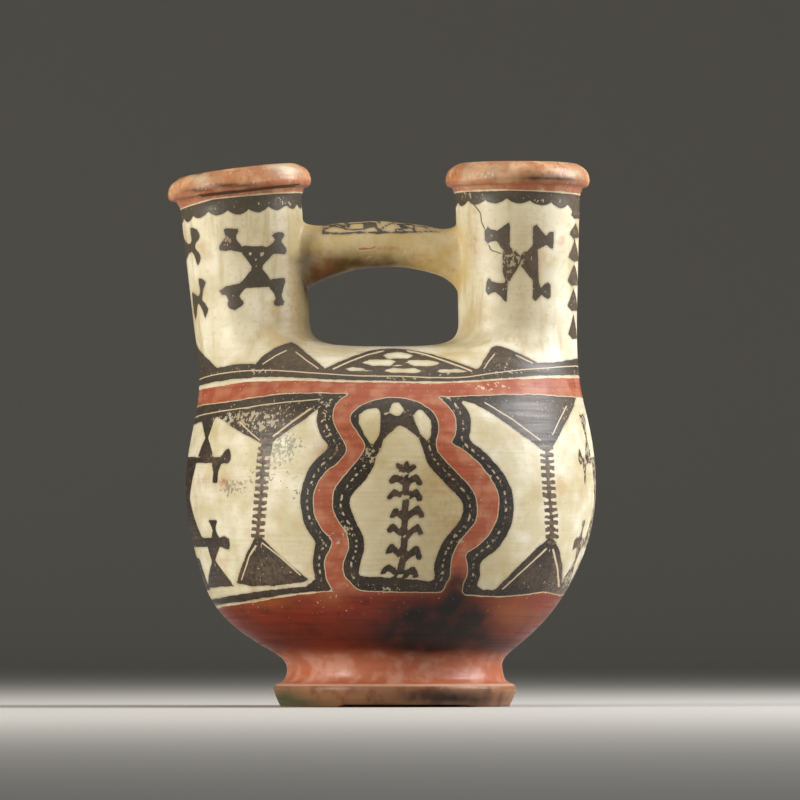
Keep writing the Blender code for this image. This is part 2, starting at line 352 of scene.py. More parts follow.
@dataclass
class Neck:
    """One tubular neck with its rolled lip, standing on half of the shoulder.

    A ring's point at angle a is the axis's place plus radius (cos a, sin a), turned by the lip's tilt,
    which grows evenly from the shoulder to the lip.
    """

    zone: Zone
    side: int
    x: float
    width: float
    lean: float
    lip_tilt: float
    top: float
    handle_height: float
    flare: float = 1.2
    blend_top: float = 197.0
    blend_rows: int = 24
    deepening: float = 1.3
    lip_width: float = 73.8
    lip_drop: float = 8.3
    lip_outside: tuple = (
        (0.0, 15.6), (0.2, 13.3), (0.34, 12.0), (0.78, 11.5), (1.0, 9.4), (0.96, 6.6), (0.7, 3.6), (0.2, 1.5),
    )
    lip_inside: tuple = ((0.2, 0.25), (0.5, 0.0), (0.85, 1.2), (1.0, 4.5), (1.0, 19.9))
    hole_columns: int = 12
    hole_reach: float = 18.0
    row_step: float = 1.65

    def tube_top(self) -> float:
        """Height at which the tube passes into the lip."""
        return self.top - 2.2 * self.lip_drop

    def radius(self, height: Array) -> Array:
        """Outer radius: half the width plus flare (2 rise - 1)."""
        return self.width / 2 + self.flare * (2 * self.rise(height) - 1)

    def rise(self, height: Array) -> Array:
        """Share of the way from the shoulder to the lip's crest."""
        return (height - SHOULDER_HEIGHT) / (self.top - SHOULDER_HEIGHT)

    def axis(self, height: Array) -> Array:
        """Where the leaning axis is across."""
        return self.x + self.side * math.tan(self.lean) * (height - SHOULDER_HEIGHT)

    def turn(self, height: Array) -> Array:
        """Tilt of the ring at a height, in radians."""
        return self.side * self.lip_tilt * self.rise(height)

    def ring(self, height: Array, radius: Array, angle: Array, deepening: Array = 0.0) -> Array:
        """Points round the axis at the given heights, radii and angles.

        Args:
            height: Height of each point.
            radius: Its distance from the axis.
            angle: Its angle, 0 towards +X.
            deepening: What the radius gains from front to back.

        Returns:
            The points.
        """
        turn = self.turn(height)
        across, deep = radius * np.cos(angle), (radius + deepening) * np.sin(angle)
        parts = (self.axis(height) + across * np.cos(turn), deep, height - across * np.sin(turn))
        return np.stack(np.broadcast_arrays(*parts), axis=-1)

    def angles(self, body_angle: Array, saddle_points: int) -> Array:
        """Angles of the loop's points: five quarters of the body's angle, then on over the saddle.

        Args:
            body_angle: The body's angles on this half.
            saddle_points: How many points the crest has.

        Returns:
            One angle for each point of the loop.
        """
        outward = math.pi if self.side < 0 else 0.0
        arc = outward + 1.25 * (body_angle - self.side * math.pi / 2)
        over = np.linspace(arc[-1], arc[0] + 2 * math.pi, saddle_points + 2)[1:-1]
        return np.concatenate([arc, over])

    def blend(self, loop: Array, plane: tuple[Array, Array], over: Array, angle: Array) -> Array:
        """Rows from the shoulder's loop to the foot of the tube, both smooth to what they meet.

        Each column is a cubic that leaves in the shoulder's own tangent plane towards the tube and
        arrives along the tube, and it is pulled further over the saddle than at the sides.

        Args:
            loop: The loop's points.
            plane: Two unit vectors at each of them that span the tangent plane.
            over: 1 in the saddle's middle, 0 on the body's side.
            angle: Angle round the neck of each column.

        Returns:
            The rows without the loop itself, the last one on the tube.
        """
        deepening = self.deepening * np.ones_like(angle)
        level, radius = np.full_like(angle, self.blend_top), self.radius(self.blend_top)
        foot = self.ring(level, radius, angle, deepening)
        above = self.ring(level + 1, radius, angle, deepening)
        way = foot - loop
        length = np.linalg.norm(way, axis=-1, keepdims=True)
        first = plane[0]
        second = unit(plane[1] - first * np.sum(plane[1] * first, axis=-1, keepdims=True))
        leave = sum(v * np.sum(way * v, axis=-1, keepdims=True) for v in (first, second))
        leave = unit(leave) * length * (1 + 1.3 * over[:, None])
        arrive = unit(above - foot) * length * 0.9
        shares = np.linspace(0, 1, self.blend_rows + 1)[1:]
        return hermite(loop, foot, leave, arrive, shares)

    def tube(self, angle: Array, saddle_points: int) -> tuple[Array, tuple[int, int]]:
        """Rows of the tube above the blend and the two that bound the handle's hole.

        Round the hole the grid's square is drawn to an ellipse, (p, q) -> (p sqrt(1 - q^2/2),
        q sqrt(1 - p^2/2)), and that fades out at 1.7 times its size.

        Args:
            angle: Angle of each column.
            saddle_points: How many columns stand on the saddle.

        Returns:
            The rows, and the numbers of the two.
        """
        low, high = self.handle_height - self.hole_reach, self.handle_height + self.hole_reach
        levels = (self.blend_top, low, high, self.tube_top())
        counts = [round((after - before) / self.row_step) for before, after in zip(levels, levels[1:])]
        rows = [np.linspace(*ends, count + 1)[1:] for *ends, count in zip(levels, levels[1:], counts)]
        below, across, _ = counts
        height = np.concatenate(rows)[:, None] + 0 * angle
        middle = len(angle) - (saddle_points + 1) // 2
        columns = (np.arange(len(angle)) - middle)[None, :] / self.hole_columns + 0 * height
        rows = (height - self.handle_height) / self.hole_reach
        size = np.maximum(np.abs(columns), np.abs(rows))
        p, q = columns / np.maximum(size, 1e-6), rows / np.maximum(size, 1e-6)
        share = (1 - smooth_step(1.0, 1.7, size)) * size
        new_columns = columns + share * (p * np.sqrt(1 - q * q / 2) - p)
        new_rows = rows + share * (q * np.sqrt(1 - p * p / 2) - q)
        step = (angle[middle + 1] - angle[middle - 1]) / 2
        turned = angle[None, :] + (new_columns - columns) * self.hole_columns * step
        lifted = self.handle_height + new_rows * self.hole_reach
        fade = self.deepening * (1 - smooth_step(self.blend_top, self.blend_top + 14, lifted))
        return self.ring(lifted, self.radius(lifted), turned, fade), (below - 1, below - 1 + across)

    def lip(self, angle: Array) -> Array:
        """Rows over the rolled lip, from the tube's top to the throat inside.

        Args:
            angle: Angle of each column.

        Returns:
            The rows, outside first.
        """
        mouth = self.radius(self.top)
        reach = self.lip_width / 2 - mouth
        profile = [(self.radius(self.tube_top()), self.tube_top())]
        profile += [(mouth + out * reach, self.top - drop) for out, drop in self.lip_outside]
        profile += [(mouth - share * WALL, self.top - drop) for share, drop in self.lip_inside]
        profile = np.array(profile)
        dense = spline_through(profile, np.linspace(0, len(profile) - 1, 1200))
        places = evenly(dense, np.interp(np.linspace(0, 1, 1200), (0, 0.88, 1), (1.15, 1.15, 4.0)))[1:]
        rows = spline_through(profile, places * (len(profile) - 1))
        return self.ring(rows[:, 1:2], rows[:, 0:1], angle[None, :])

    def throat(self, angle: Array) -> Array:
        """Coarse rows of the lining, from under the lip down to the blend."""
        height = np.linspace(self.top - 2.4 * self.lip_drop - 7, self.blend_top + 3, 8)[:, None]
        return self.ring(height, self.radius(height) - WALL, angle[None, :])


@dataclass
class Handle:
    """The solid bar: round rings carried along a low arch, flowing out into both necks."""

    thickness: float = 23.4
    crest: float = 236.2
    start: tuple = (-46.5, 229.0)
    end: tuple = (32.7, 229.5)
    swellings: tuple = ((0.0, 1.36), (0.12, 1.20), (0.34, 1.04), (0.64, 0.97), (0.88, 1.02), (1.0, 1.2))
    first: float = 0.15
    last: float = 0.85
    crest_at: float = 0.34

    def level(self) -> float:
        """Height halfway between the bar's two ends."""
        return (self.start[1] + self.end[1]) / 2

    def arch(self, shares: Array) -> Array:
        """Rise of the middle line over its ends, as 1 - (2s - 1)^2 and up to the crest at crest_at."""
        rise = (self.crest - self.level()) / (1 - (2 * self.crest_at - 1) ** 2)
        return rise * (1 - (2 * shares - 1) ** 2)

    def rings(self, shares: Array, angle: Array) -> Array:
        """Rings of the bar: centre + radius (0, cos a, sin a), the centre rising as 1 - (2s - 1)^2.

        Args:
            shares: Places along the bar, 0 to 1.
            angle: Angles round it.

        Returns:
            The rings.
        """
        swelling = np.array(self.swellings)
        radius = self.thickness / 2 * np.interp(shares, swelling[:, 0], swelling[:, 1])[:, None]
        x = self.start[0] + (self.end[0] - self.start[0]) * shares
        z = self.start[1] + (self.end[1] - self.start[1]) * shares + self.arch(shares)
        parts = (x[:, None], radius * np.cos(angle), z[:, None] + radius * np.sin(angle))
        return np.stack(np.broadcast_arrays(*parts), axis=-1)

    def skin(self, left: Array, right: Array) -> Array:
        """Rows between the two holes' edges, without the edges.

        Near each neck a column is a cubic that leaves the neck's wall towards the hole's middle and
        arrives along the bar.

        Args:
            left: Edge of the leaning neck's hole.
            right: Edge of the upright neck's.

        Returns:
            The rows, left to right.
        """
        centre = [left.mean(axis=0), right.mean(axis=0)]
        flat = [left - centre[0], right - centre[1]]
        angle = np.arctan2(flat[0][:, 2] / 18.0, flat[0][:, 1] / 15.3)
        shares = np.linspace(self.first, self.last, 36)
        bar = self.rings(shares, angle)
        fillets = []
        for edge, ring, along, offset in (
            (left, bar[0], bar[1] - bar[0], flat[0]),
            (right, bar[-1], bar[-2] - bar[-1], flat[1]),
        ):
            gap = np.linalg.norm(ring - edge, axis=-1, keepdims=True)
            inward = -offset.copy()
            inward[:, 0] = 0
            leave = unit(inward) * gap * 0.75
            arrive = unit(along) * gap * 1.1
            fillets.append(hermite(edge, ring, leave, arrive, np.linspace(0, 1, 9)[1:-1]))
        return np.concatenate([fillets[0], bar, fillets[1][::-1]])


@dataclass
class Jar:
    """The whole jar as one closed skin: body, two necks, handle and lining."""

    body: Body = field(default_factory=Body)
    leaning: Neck = field(
        default_factory=lambda: Neck(
            Zone.LEANING_NECK, -1, -71.2, 60.6, math.radians(5.2), math.radians(7.2), 274.5, 229.0
        )
    )
    upright: Neck = field(
        default_factory=lambda: Neck(Zone.UPRIGHT_NECK, 1, 62.9, 62.0, 0.0, 0.0, 278.0, 229.5)
    )
    handle: Handle = field(default_factory=Handle)
    floor_rows: tuple = ((44.5, 20.0), (37.7, 15.6), (20.0, 14.1))
    floor_middle: float = 14.0
    lining_start: float = 23.5
    underside_radii: tuple = (54.0, 30.0)

    def skin(self) -> Skin:
        """Builds the closed skin from the foot up, over the lips and down inside to the floor.

        Returns:
            The closed skin.
        """
        skin = Skin()
        body, half = self.body, self.body.columns // 2
        angle = body.angles()
        rows, upward = body.grid()
        outer = skin.add(rows, Zone.BODY)
        skin.loft(outer)
        crest = body.saddle()
        over = skin.add(crest, Zone.BODY)
        shoulder, ring = rows[-1], outer[-1]
        tangent = unit(np.roll(shoulder, -1, axis=0) - np.roll(shoulder, 1, axis=0))
        ends = np.vstack([shoulder[half], crest, shoulder[0]])
        crest_tangent = unit(ends[2:] - ends[:-2])
        sideways = np.zeros_like(crest) + np.array([1.0, 0, 0])
        chord = np.sin(np.pi * np.arange(1, len(crest) + 1) / (len(crest) + 1)) ** 0.5
        loops, blends, tubes, lips, angles = {}, {}, {}, {}, {}
        for neck in (self.leaning, self.upright):
            if neck.side < 0:
                picks, flip = np.arange(half + 1), slice(None)
                arc_angle = angle[: half + 1]
            else:
                picks, flip = np.append(np.arange(half, 2 * half), 0), slice(None, None, -1)
                arc_angle = np.append(angle[half:], math.pi)
            around = neck.angles(arc_angle, len(crest))
            loop = np.vstack([shoulder[picks], crest[flip]])
            plane = (
                np.vstack([upward[picks], crest_tangent[flip]]),
                np.vstack([tangent[picks], sideways[flip]]),
            )
            share = np.concatenate([np.zeros(half + 1), chord[flip]])
            loops[neck.zone] = np.concatenate([ring[picks], over[flip]])
            blend = skin.add(neck.blend(loop, plane, share, around), Zone.BODY)
            skin.loft(np.vstack([loops[neck.zone][None], blend]))
            points, (low, high) = neck.tube(around, len(crest))
            tube = skin.add(points, neck.zone)
            keep = np.ones((len(tube), len(around)), bool)
            middle = len(around) - (len(crest) + 1) // 2
            near, far = middle - neck.hole_columns, middle + neck.hole_columns
            keep[low + 1 : high + 1, near:far] = False
            skin.loft(np.vstack([blend[-1:], tube]), keep)
            lip = skin.add(neck.lip(around), neck.zone)
            skin.loft(np.vstack([tube[-1:], lip]))
            first, last = (near, far) if neck.side < 0 else (far, near)
            step = 1 if last > first else -1
            bottom = tube[low, first : last + step : step]
            top = tube[high, last : first - step : -step]
            rise = tube[low + 1 : high, last]
            fall = tube[low + 1 : high, first][::-1]
            blends[neck.zone], tubes[neck.zone] = blend, np.concatenate([bottom, rise, top, fall])
            lips[neck.zone], angles[neck.zone] = lip, around
        points = np.concatenate(skin.points)
        left, right = tubes[Zone.LEANING_NECK], tubes[Zone.UPRIGHT_NECK]
        bar = skin.add(self.handle.skin(points[left], points[right]), Zone.HANDLE)
        skin.loft(np.vstack([left[None], bar, right[None]]))
        normals, points = skin.normals(), np.concatenate(skin.points)
        lowest = int(np.argmax(points[outer[:, 0], 2] > self.lining_start))
        even = outer[lowest:-2:4, ::2]
        rows_in = skin.add(points[even] - WALL * normals[even], Zone.INSIDE)
        even = ring[::2]
        rim = skin.add(points[even] - WALL * normals[even], Zone.INSIDE)
        crest_even = over[1::2]
        rim_over = skin.add(points[crest_even] - WALL * normals[crest_even], Zone.INSIDE)
        floor = [skin.add(disc_ring(angle[::2], r, z), Zone.INSIDE) for r, z in self.floor_rows][::-1]
        skin.loft(np.vstack([floor, rows_in, rim[None]])[::-1])
        pole = skin.add(np.array([[0, 0, self.floor_middle]]), Zone.INSIDE)
        skin.cap(floor[0], int(pole[0]), down=False)
        quarter = half // 2
        for neck in (self.leaning, self.upright):
            if neck.side < 0:
                loop_in = np.concatenate([rim[: quarter + 1], rim_over])
            else:
                loop_in = np.concatenate([rim[quarter:], rim[:1], rim_over[::-1]])
            blend = blends[neck.zone][3:-1:4, ::2]
            rows_up = skin.add(points[blend] - WALL * normals[blend], Zone.INSIDE)
            around = angles[neck.zone][::2]
            throat = skin.add(neck.throat(around), Zone.INSIDE)
            skin.loft(np.vstack([loop_in[None], rows_up, throat[::-1]])[::-1])
            skin.halve(lips[neck.zone][-1], throat[0])
        foot = [skin.add(disc_ring(angle, r, 0.0), Zone.UNDERSIDE) for r in self.underside_radii]
        skin.loft(np.vstack([outer[:1], foot])[::-1])
        pole = skin.add(np.array([[0.0, 0, 0]]), Zone.UNDERSIDE)
        skin.cap(foot[-1], int(pole[0]), down=True)
        return skin


def linear(hex_colour: str) -> tuple[float, float, float, float]:
    """The linear colour of an sRGB hex value, with full opacity."""
    parts = [int(hex_colour[i : i + 2], 16) / 255 for i in (1, 3, 5)]
    return (*[c / 12.92 if c <= 0.04045 else ((c + 0.055) / 1.055) ** 2.4 for c in parts], 1.0)


class Pigment(Enum):
    """What a brush lays down; CREAM leaves the slip bare."""

    BLACK = "black"
    RED = "red"
    CREAM = "cream"


@dataclass(frozen=True)
class Figure:
    """A filled figure of a chart, or a stroke along its corners if it has a width."""

    pigment: Pigment
    corners: tuple
    width: float = 0.0


@dataclass(frozen=True)
class SoftMark:
    """A soft round mark at (across, height) with its half sizes and strength."""

    across: float
    height: float
    reach_across: float
    reach_up: float
    strength: float


FAR, LINE_REACH, LINE_CREEP = 9.0, 6.0, 1.6


def rounded(corners: Array, parts: int) -> Array:
    """The closed Catmull-Rom curve through corners, cut in as many parts between two of them.

    Args:
        corners: The figure's corners.
        parts: Pieces between two of them.

    Returns:
        The curve's points.
    """
    before, after, beyond = np.roll(corners, 1, 0), np.roll(corners, -1, 0), np.roll(corners, -2, 0)
    rows = []
    for t in np.arange(parts) / parts:
        rows.append(
            0.5
            * (
                2 * corners
                + (after - before) * t
                + (2 * before - 5 * corners + 4 * after - beyond) * t**2
                + (3 * corners - before - 3 * after + beyond) * t**3
            )
        )
    return np.stack(rows, axis=1).reshape(-1, 2)


def to_line(spots: Array, line: Array, closed: bool) -> tuple[Array, Array, Array, Array]:
    """Distance to a line, side of it, gap past its end and way along it, for each place.

    The nearest stretch a-b is found with t = (p - a).(b - a) / |b - a|^2 held in 0..1; the side is the
    distance square to that stretch, with a sign, and the gap is how far t had to be held back.

    Args:
        spots: The places to measure.
        line: The line's corners.
        closed: Whether it runs back to its start.

    Returns:
        The four measures.
    """
    start = line if closed else line[:-1]
    way = (np.roll(line, -1, 0) if closed else line[1:]) - start
    length = np.maximum(np.linalg.norm(way, axis=1), 1e-6)
    off = spots[:, None] - start
    t = np.sum(off * way, axis=-1) / length**2
    held = np.clip(t, 0, 1)
    distance = np.linalg.norm(off - held[..., None] * way, axis=-1)
    nearest = np.argmin(distance, axis=1)
    row = np.arange(len(spots))
    off, way = off[row, nearest], way[nearest]
    side = (way[:, 0] * off[:, 1] - way[:, 1] * off[:, 0]) / length[nearest]
    gap = np.abs(t - held)[row, nearest] * length[nearest]
    along = (np.cumsum(length) - length)[nearest] + (held[row, nearest] * length[nearest])
    return distance[row, nearest], side, gap, along


def depth(spots: Array, corners: Array) -> Array:
    """Distance to a closed figure's edge, negative inside it by the even-odd rule.

    Args:
        spots: The places to measure.
        corners: The figure's corners.

    Returns:
        One distance a place.
    """
    distance = to_line(spots, corners, True)[0]
    x0, y0 = corners.T
    x1, y1 = np.roll(corners, -1, 0).T
    x, y = spots[:, :1], spots[:, 1:]
    crosses = (y0 > y) != (y1 > y)
    meets = (x1 - x0) * (y - y0) / np.where(y1 == y0, 1e-9, y1 - y0) + x0
    inside = np.sum(crosses & (x < meets), axis=1) % 2 == 1
    return np.where(inside, -distance, distance)


def curve_at(line: tuple, x: Array) -> Array:
    """Height of a band's edge at x: cubics through its points, level past its ends.

    Args:
        line: The edge's (x, height) points.
        x: Where its height is wanted.

    Returns:
        The heights.
    """
    points = np.array(line)
    order = np.argsort(points[:, 0])
    px, pz = points[order].T
    slopes = np.gradient(pz, px)
    x = np.clip(x, px[0], px[-1])
    i = np.clip(np.searchsorted(px, x) - 1, 0, len(px) - 2)
    step = px[i + 1] - px[i]
    parts = (pz[i], step * slopes[i], pz[i + 1], step * slopes[i + 1])
    return sum(share * part for share, part in zip(cubic((x - px[i]) / step), parts))


@dataclass
class Chart:
    """A flat drawing sheet laid on part of the skin: two coordinates in mm and where it counts."""

    across: Array
    height: Array
    where: Array

    def close_to(self, corners: Array, margin: float) -> tuple[Array, Array]:
        """Numbers and places of the points within margin of a figure's box.

        Args:
            corners: The figure's corners.
            margin: How far outside a point may be.

        Returns:
            Numbers and places.
        """
        low, high = corners.min(0) - margin, corners.max(0) + margin
        inside = self.where & (self.across > low[0]) & (self.across < high[0])
        inside &= (self.height > low[1]) & (self.height < high[1])
        picked = np.flatnonzero(inside)
        return picked, np.stack([self.across[picked], self.height[picked]], -1)


class Brush:
    """Lays figures on the skin as distances in mm to each pigment's edge, negative under it."""

    def __init__(self, count: int) -> None:
        """Starts with bare slip.

        Args:
            count: How many points the skin has.
        """
        self.fields = {pigment: np.full(count, FAR) for pigment in (Pigment.BLACK, Pigment.RED)}
        self.comb = np.full(count, FAR)
        self.lines = {name: np.tile([FAR, FAR, 0.3], (count, 1)) for name in LINES}
        # Soft marks by kind; the sooty and tan kinds also paint shade, the worn kind also paints sheen.
        self.stains_and_shade = {name: np.zeros(count) for name in ("rust", "grey", "soot", "wear", "tan", "brown")}
        self.dashes = np.tile([FAR, 0.0, 0.0], (count, 1))

    def lay(self, picked: Array, pigment: Pigment, distance: Array) -> None:
        """Adds a figure's distances to its pigment, or cuts it out of the black if it is cream.

        Args:
            picked: Numbers of the points.
            pigment: What is laid.
            distance: Distance to its edge at each.
        """
        if pigment is Pigment.CREAM:
            black = self.fields[Pigment.BLACK]
            black[picked] = np.maximum(black[picked], -distance)
        else:
            held = self.fields[pigment]
            held[picked] = np.minimum(held[picked], distance)

    def draw(self, chart: Chart, figures: tuple) -> None:
        """Draws figures and strokes one after the other.

        Args:
            chart: Where to draw.
            figures: What to draw, in order.
        """
        for figure in figures:
            corners = np.array(figure.corners)
            picked, spots = chart.close_to(corners, FAR)
            if figure.width:
                distance = to_line(spots, corners, False)[0] - figure.width / 2
            else:
                distance = depth(spots, corners)
            self.lay(picked, figure.pigment, distance)

    def band(self, chart: Chart, pigment: Pigment, top: Array, bottom: Array) -> None:
        """Fills between two edges given as heights for every point of the skin."""
        distance = np.maximum(chart.height - top, bottom - chart.height)
        self.lay(np.flatnonzero(chart.where), pigment, distance[chart.where])

    def line(self, name: str, picked: Array, side: Array, gap: Array, width: float) -> None:
        """Keeps the nearest thin line at each point: side, gap and half width; far off counts as past it.

        Args:
            name: The kind of line.
            picked: Numbers of the points.
            side: Distance square to the line.
            gap: Distance past its end.
            width: The line's width.
        """
        held = self.lines[name]
        gap = np.maximum(0, np.maximum(gap, np.abs(side) - LINE_CREEP))
        closer = np.hypot(side, gap) < np.hypot(held[picked, 0], np.maximum(held[picked, 1], 0))
        rows = np.stack([side, gap, np.full_like(side, width / 2)], -1)
        held[picked[closer]] = np.clip(rows[closer], -FAR, FAR)

    def scratch(self, chart: Chart, name: str, lines: tuple) -> None:
        """Draws thin lines, each a pair of width and corners.

        Args:
            chart: Where to draw.
            name: The kind of line.
            lines: The pairs.
        """
        for width, corners in lines:
            corners = np.array(corners)
            picked, spots = chart.close_to(corners, LINE_REACH)
            _, side, gap, _ = to_line(spots, corners, False)
            self.line(name, picked, side, gap, width)

    def band_line(self, chart: Chart, height: Array, width: float) -> None:
        """Draws a thin line round the jar at a height given for every point.

        Args:
            chart: Where to draw.
            height: The line's height.
            width: Its width.
        """
        picked = np.flatnonzero(chart.where & (np.abs(chart.height - height) < LINE_REACH))
        side = (chart.height - height)[picked]
        self.line("band_line", picked, side, np.zeros_like(side), width)

    def toothed(self, chart: Chart, corners: tuple) -> None:
        """Lays the distance to a toothed line's axis, for the clay's shader to cut the teeth.

        Args:
            chart: Where to draw.
            corners: The axis's corners.
        """
        corners = np.array(corners)
        picked, spots = chart.close_to(corners, FAR)
        distance = to_line(spots, corners, False)[0]
        self.comb[picked] = np.minimum(self.comb[picked], distance)

    def lay_marks(self, chart: Chart, marks: tuple) -> None:
        """Adds soft marks, strength exp(-(dx / reach)^2 - (dz / reach)^2).

        Args:
            chart: Where to draw.
            marks: Kinds of mark, each with rows of a Stain's fields.
        """
        for name, mark in ((name, SoftMark(*row)) for name, rows in marks for row in rows):
            off = ((chart.across - mark.across) / mark.reach_across) ** 2
            off = off + ((chart.height - mark.height) / mark.reach_up) ** 2
            self.stains_and_shade[name] += np.where(chart.where, mark.strength * np.exp(-off), 0)


def places(*tenths: int) -> tuple:
    """Places (across, height) in mm from numbers in tenths of a millimetre, two for each."""
    return tuple((across / 10, height / 10) for across, height in zip(tenths[::2], tenths[1::2]))


@dataclass(frozen=True)
class Photograph:
    """The photograph's camera, which carries a pixel place along its ray to the jar's painted front.

    The ray of a pixel k over the middle, as a share of its distance, is at height reach (k cos t + sin t) /
    (cos t - k sin t) over the camera, t its tilt. Where it meets the round clay is found in a few rounds,
    and every place is rounded to a tenth of a millimetre.
    """

    pixel: float = 0.5128
    foot: tuple = (395.0, 706.0)
    middle: float = 400.0
    focus: float = 800 * 4500 / 410
    distance: float = 4500.0
    aim: tuple = (2.6, 157.0)
    camera_height: float = 35.0
    rounds: int = 6
    centre: float = -2.0
    depths: tuple = (
        (20, 48), (25, 48), (40, 68), (54, 85), (78, 91.7), (105, 94), (132, 91.3), (154, 80.8), (172, 61),
        (180, 49), (190, 36), (200, 32),
    )
    half_widths: tuple = (
        (54, 88), (60, 91.5), (78, 101), (105, 105.2), (132, 103.6), (154, 98.9), (172, 97.3),
    )
    narrowing: float = 0.8
    flank_radius: float = 95.0
    necks: tuple = ((-71.2, 30.5, math.tan(math.radians(5.2))), (62.9, 31.3, 0.0))

    def seen(self, pixels: Array, depth: Array) -> Array:
        """Where the rays of pixels meet a depth.

        Args:
            pixels: Rows of pixel places.
            depth: The y of each.

        Returns:
            A row of x and one of height.
        """
        tilt = math.atan2(self.aim[1] - self.camera_height, self.distance)
        cos, sin = math.cos(tilt), math.sin(tilt)
        k, reach = (self.middle - pixels[:, 1]) / self.focus, depth + self.distance
        z = reach * (k * cos + sin) / (cos - k * sin)
        x = self.aim[0] + (pixels[:, 0] - self.middle) / self.focus * (reach * cos + z * sin)
        return np.stack([x, z + self.camera_height])

    def first_guess(self, pixels: Array) -> Array:
        """Rows of x and height as if the jar were flat."""
        return np.stack([pixels[:, 0] - self.foot[0], self.foot[1] - pixels[:, 1]]) * self.pixel

    def side(self, x: Array, z: Array) -> Array:
        """How far towards its outline a place on the body is, from -1 to 1 at the sides."""
        narrower = self.narrowing * np.maximum(self.half_widths[0][0] - z, 0)
        return (x - self.centre) / (np.interp(z, *np.array(self.half_widths).T) - narrower)

    def on_body(self, pixels: Array) -> Array:
        """Rows of x and height where the rays meet the body.

        Args:
            pixels: Rows of pixel places.

        Returns:
            The two rows.
        """
        x, z = self.first_guess(pixels)
        for _ in range(self.rounds):
            inward = np.sqrt(np.maximum(0, 1 - self.side(x, z) ** 2))
            x, z = self.seen(pixels, -np.interp(z, *np.array(self.depths).T) * inward)
        return np.stack([x, z])

    def front(self, *pixels: float) -> tuple:
        """Places (x, height) on the body's front view, from pixels across and down, two for each."""
        return rounded_pairs(self.on_body(np.reshape(pixels, (-1, 2))))

    def left_flank(self, *pixels: float) -> tuple:
        """Places (distance round from the outermost line, height) on the left flank, from pixels.

        Args:
            pixels: Pixels across and down, two for each place.

        Returns:
            The places.
        """
        x, z = self.on_body(np.reshape(pixels, (-1, 2)))
        turn = np.arcsin(np.clip(self.side(x, z), -1, 1)) + math.pi / 2
        return rounded_pairs(np.stack([self.flank_radius * turn, z]))

    def neck(self, pixels: tuple, which: int) -> tuple:
        """Places (distance round from the front, height) on a neck.

        Args:
            pixels: Pixels across and down, two for each place.
            which: 0 for the leaning neck, 1 for the upright one.

        Returns:
            The places.
        """
        pixels = np.reshape(pixels, (-1, 2))
        axis, radius, lean = self.necks[which]
        x, z = self.first_guess(pixels)
        for _ in range(self.rounds):
            centre = axis - lean * (z - SHOULDER_HEIGHT)
            share = np.clip((x - centre) / radius, -1, 1)
            x, z = self.seen(pixels, -radius * np.sqrt(1 - share * share))
        return rounded_pairs(np.stack([radius * np.arcsin(np.clip((x - centre) / radius, -1, 1)), z]))

    def marks(self, *rows: tuple) -> tuple:
        """Marks of age on the body's front.

        Args:
            rows: For each mark (across, down, reach across, reach up, strength), in pixels.

        Returns:
            The marks as (x, height, reach across, reach up, strength), in mm.
        """
        places_on = rounded_pairs(self.on_body(np.array(rows)[:, :2]))
        sizes = np.round(np.array(rows)[:, 2:4] * self.pixel, 1).tolist()
        return tuple((*place, *size, row[4]) for place, size, row in zip(places_on, sizes, rows))


def rounded_pairs(rows: Array) -> tuple:
    """Columns of two rows as a tuple of pairs, to a tenth of a millimetre."""
    return tuple(map(tuple, np.round(rows.T, 1).tolist()))


PHOTOGRAPH = Photograph()
front, left_flank, seen_marks = PHOTOGRAPH.front, PHOTOGRAPH.left_flank, PHOTOGRAPH.marks


def leaning_neck(*pixels: float) -> tuple:
    """Places on the leaning neck from pixels."""
    return PHOTOGRAPH.neck(pixels, 0)


def upright_neck(*pixels: float) -> tuple:
    """Places on the upright neck from pixels."""
    return PHOTOGRAPH.neck(pixels, 1)


B, R, C = Pigment.BLACK, Pigment.RED, Pigment.CREAM


@dataclass(frozen=True)
class Bands:
    """Edges of the painted bands, as (x, height) points from the left flank to the right."""

    black_top: tuple = front(190, 373, 218, 367.8, 237, 364.3, 254, 364, 290, 367, 324, 369.5, 360, 371.5,
        400, 372, 440, 371.5, 478, 370, 510, 366, 540, 362.5, 560, 361.5, 578, 358)
    black_line: tuple = front(192, 382, 201, 379, 233, 372, 264, 370.4, 313, 373, 364, 376, 400, 376.3,
        430, 377.5, 466, 377, 490, 373.5, 520, 370, 545, 368, 577, 366)
    black_bottom: tuple = front(192, 388, 201, 385.5, 220, 381, 243, 378.5, 278, 377, 340, 380, 400, 381,
        440, 381.5, 480, 380, 500, 378.5, 540, 376, 577, 375)
    red_top: tuple = front(192, 392, 200, 390, 220, 386, 240, 382.8, 264, 381.5, 300, 381, 340, 382,
        400, 382.8, 440, 383.2, 480, 381.5, 504, 379.8, 540, 378.5, 578, 378)
    red_bottom: tuple = front(190, 409.5, 197, 407, 220, 402.5, 239, 399.5, 265, 395.5, 292, 392.8,
        330, 392.6, 357, 393, 395, 394, 433, 396, 470, 395.3, 500, 394, 540, 394.2, 577, 397)
    left_bottom: tuple = front(190, 426, 195, 424, 205, 420.5, 217, 417, 240, 409.5, 280, 404, 326, 399.5)
    left_line: tuple = front(190, 420, 195, 418, 212, 413, 239, 408.6, 260, 405.5, 278, 403, 300, 401,
        322, 399)
    low_top: tuple = front(205, 601, 215, 599, 240, 594.5, 262, 591, 290, 588, 320, 585.5, 334, 585,
        400, 584, 466, 589, 495, 590, 530, 590, 563, 589, 580, 588)
    low_bottom: tuple = front(210, 608, 219.5, 605, 240, 602, 262, 598, 300, 593, 334, 590.5, 400, 592,
        440, 593, 466, 594, 495, 596.5, 530, 594, 545, 592, 563, 595.5, 580, 590)
    zone_top: tuple = front(210, 610.5, 221, 607.5, 250, 603, 300, 594.5, 334, 591.5, 380, 592, 440, 593.5,
        492, 597, 530, 594.5, 545, 592.5, 561, 595.5, 575, 593)


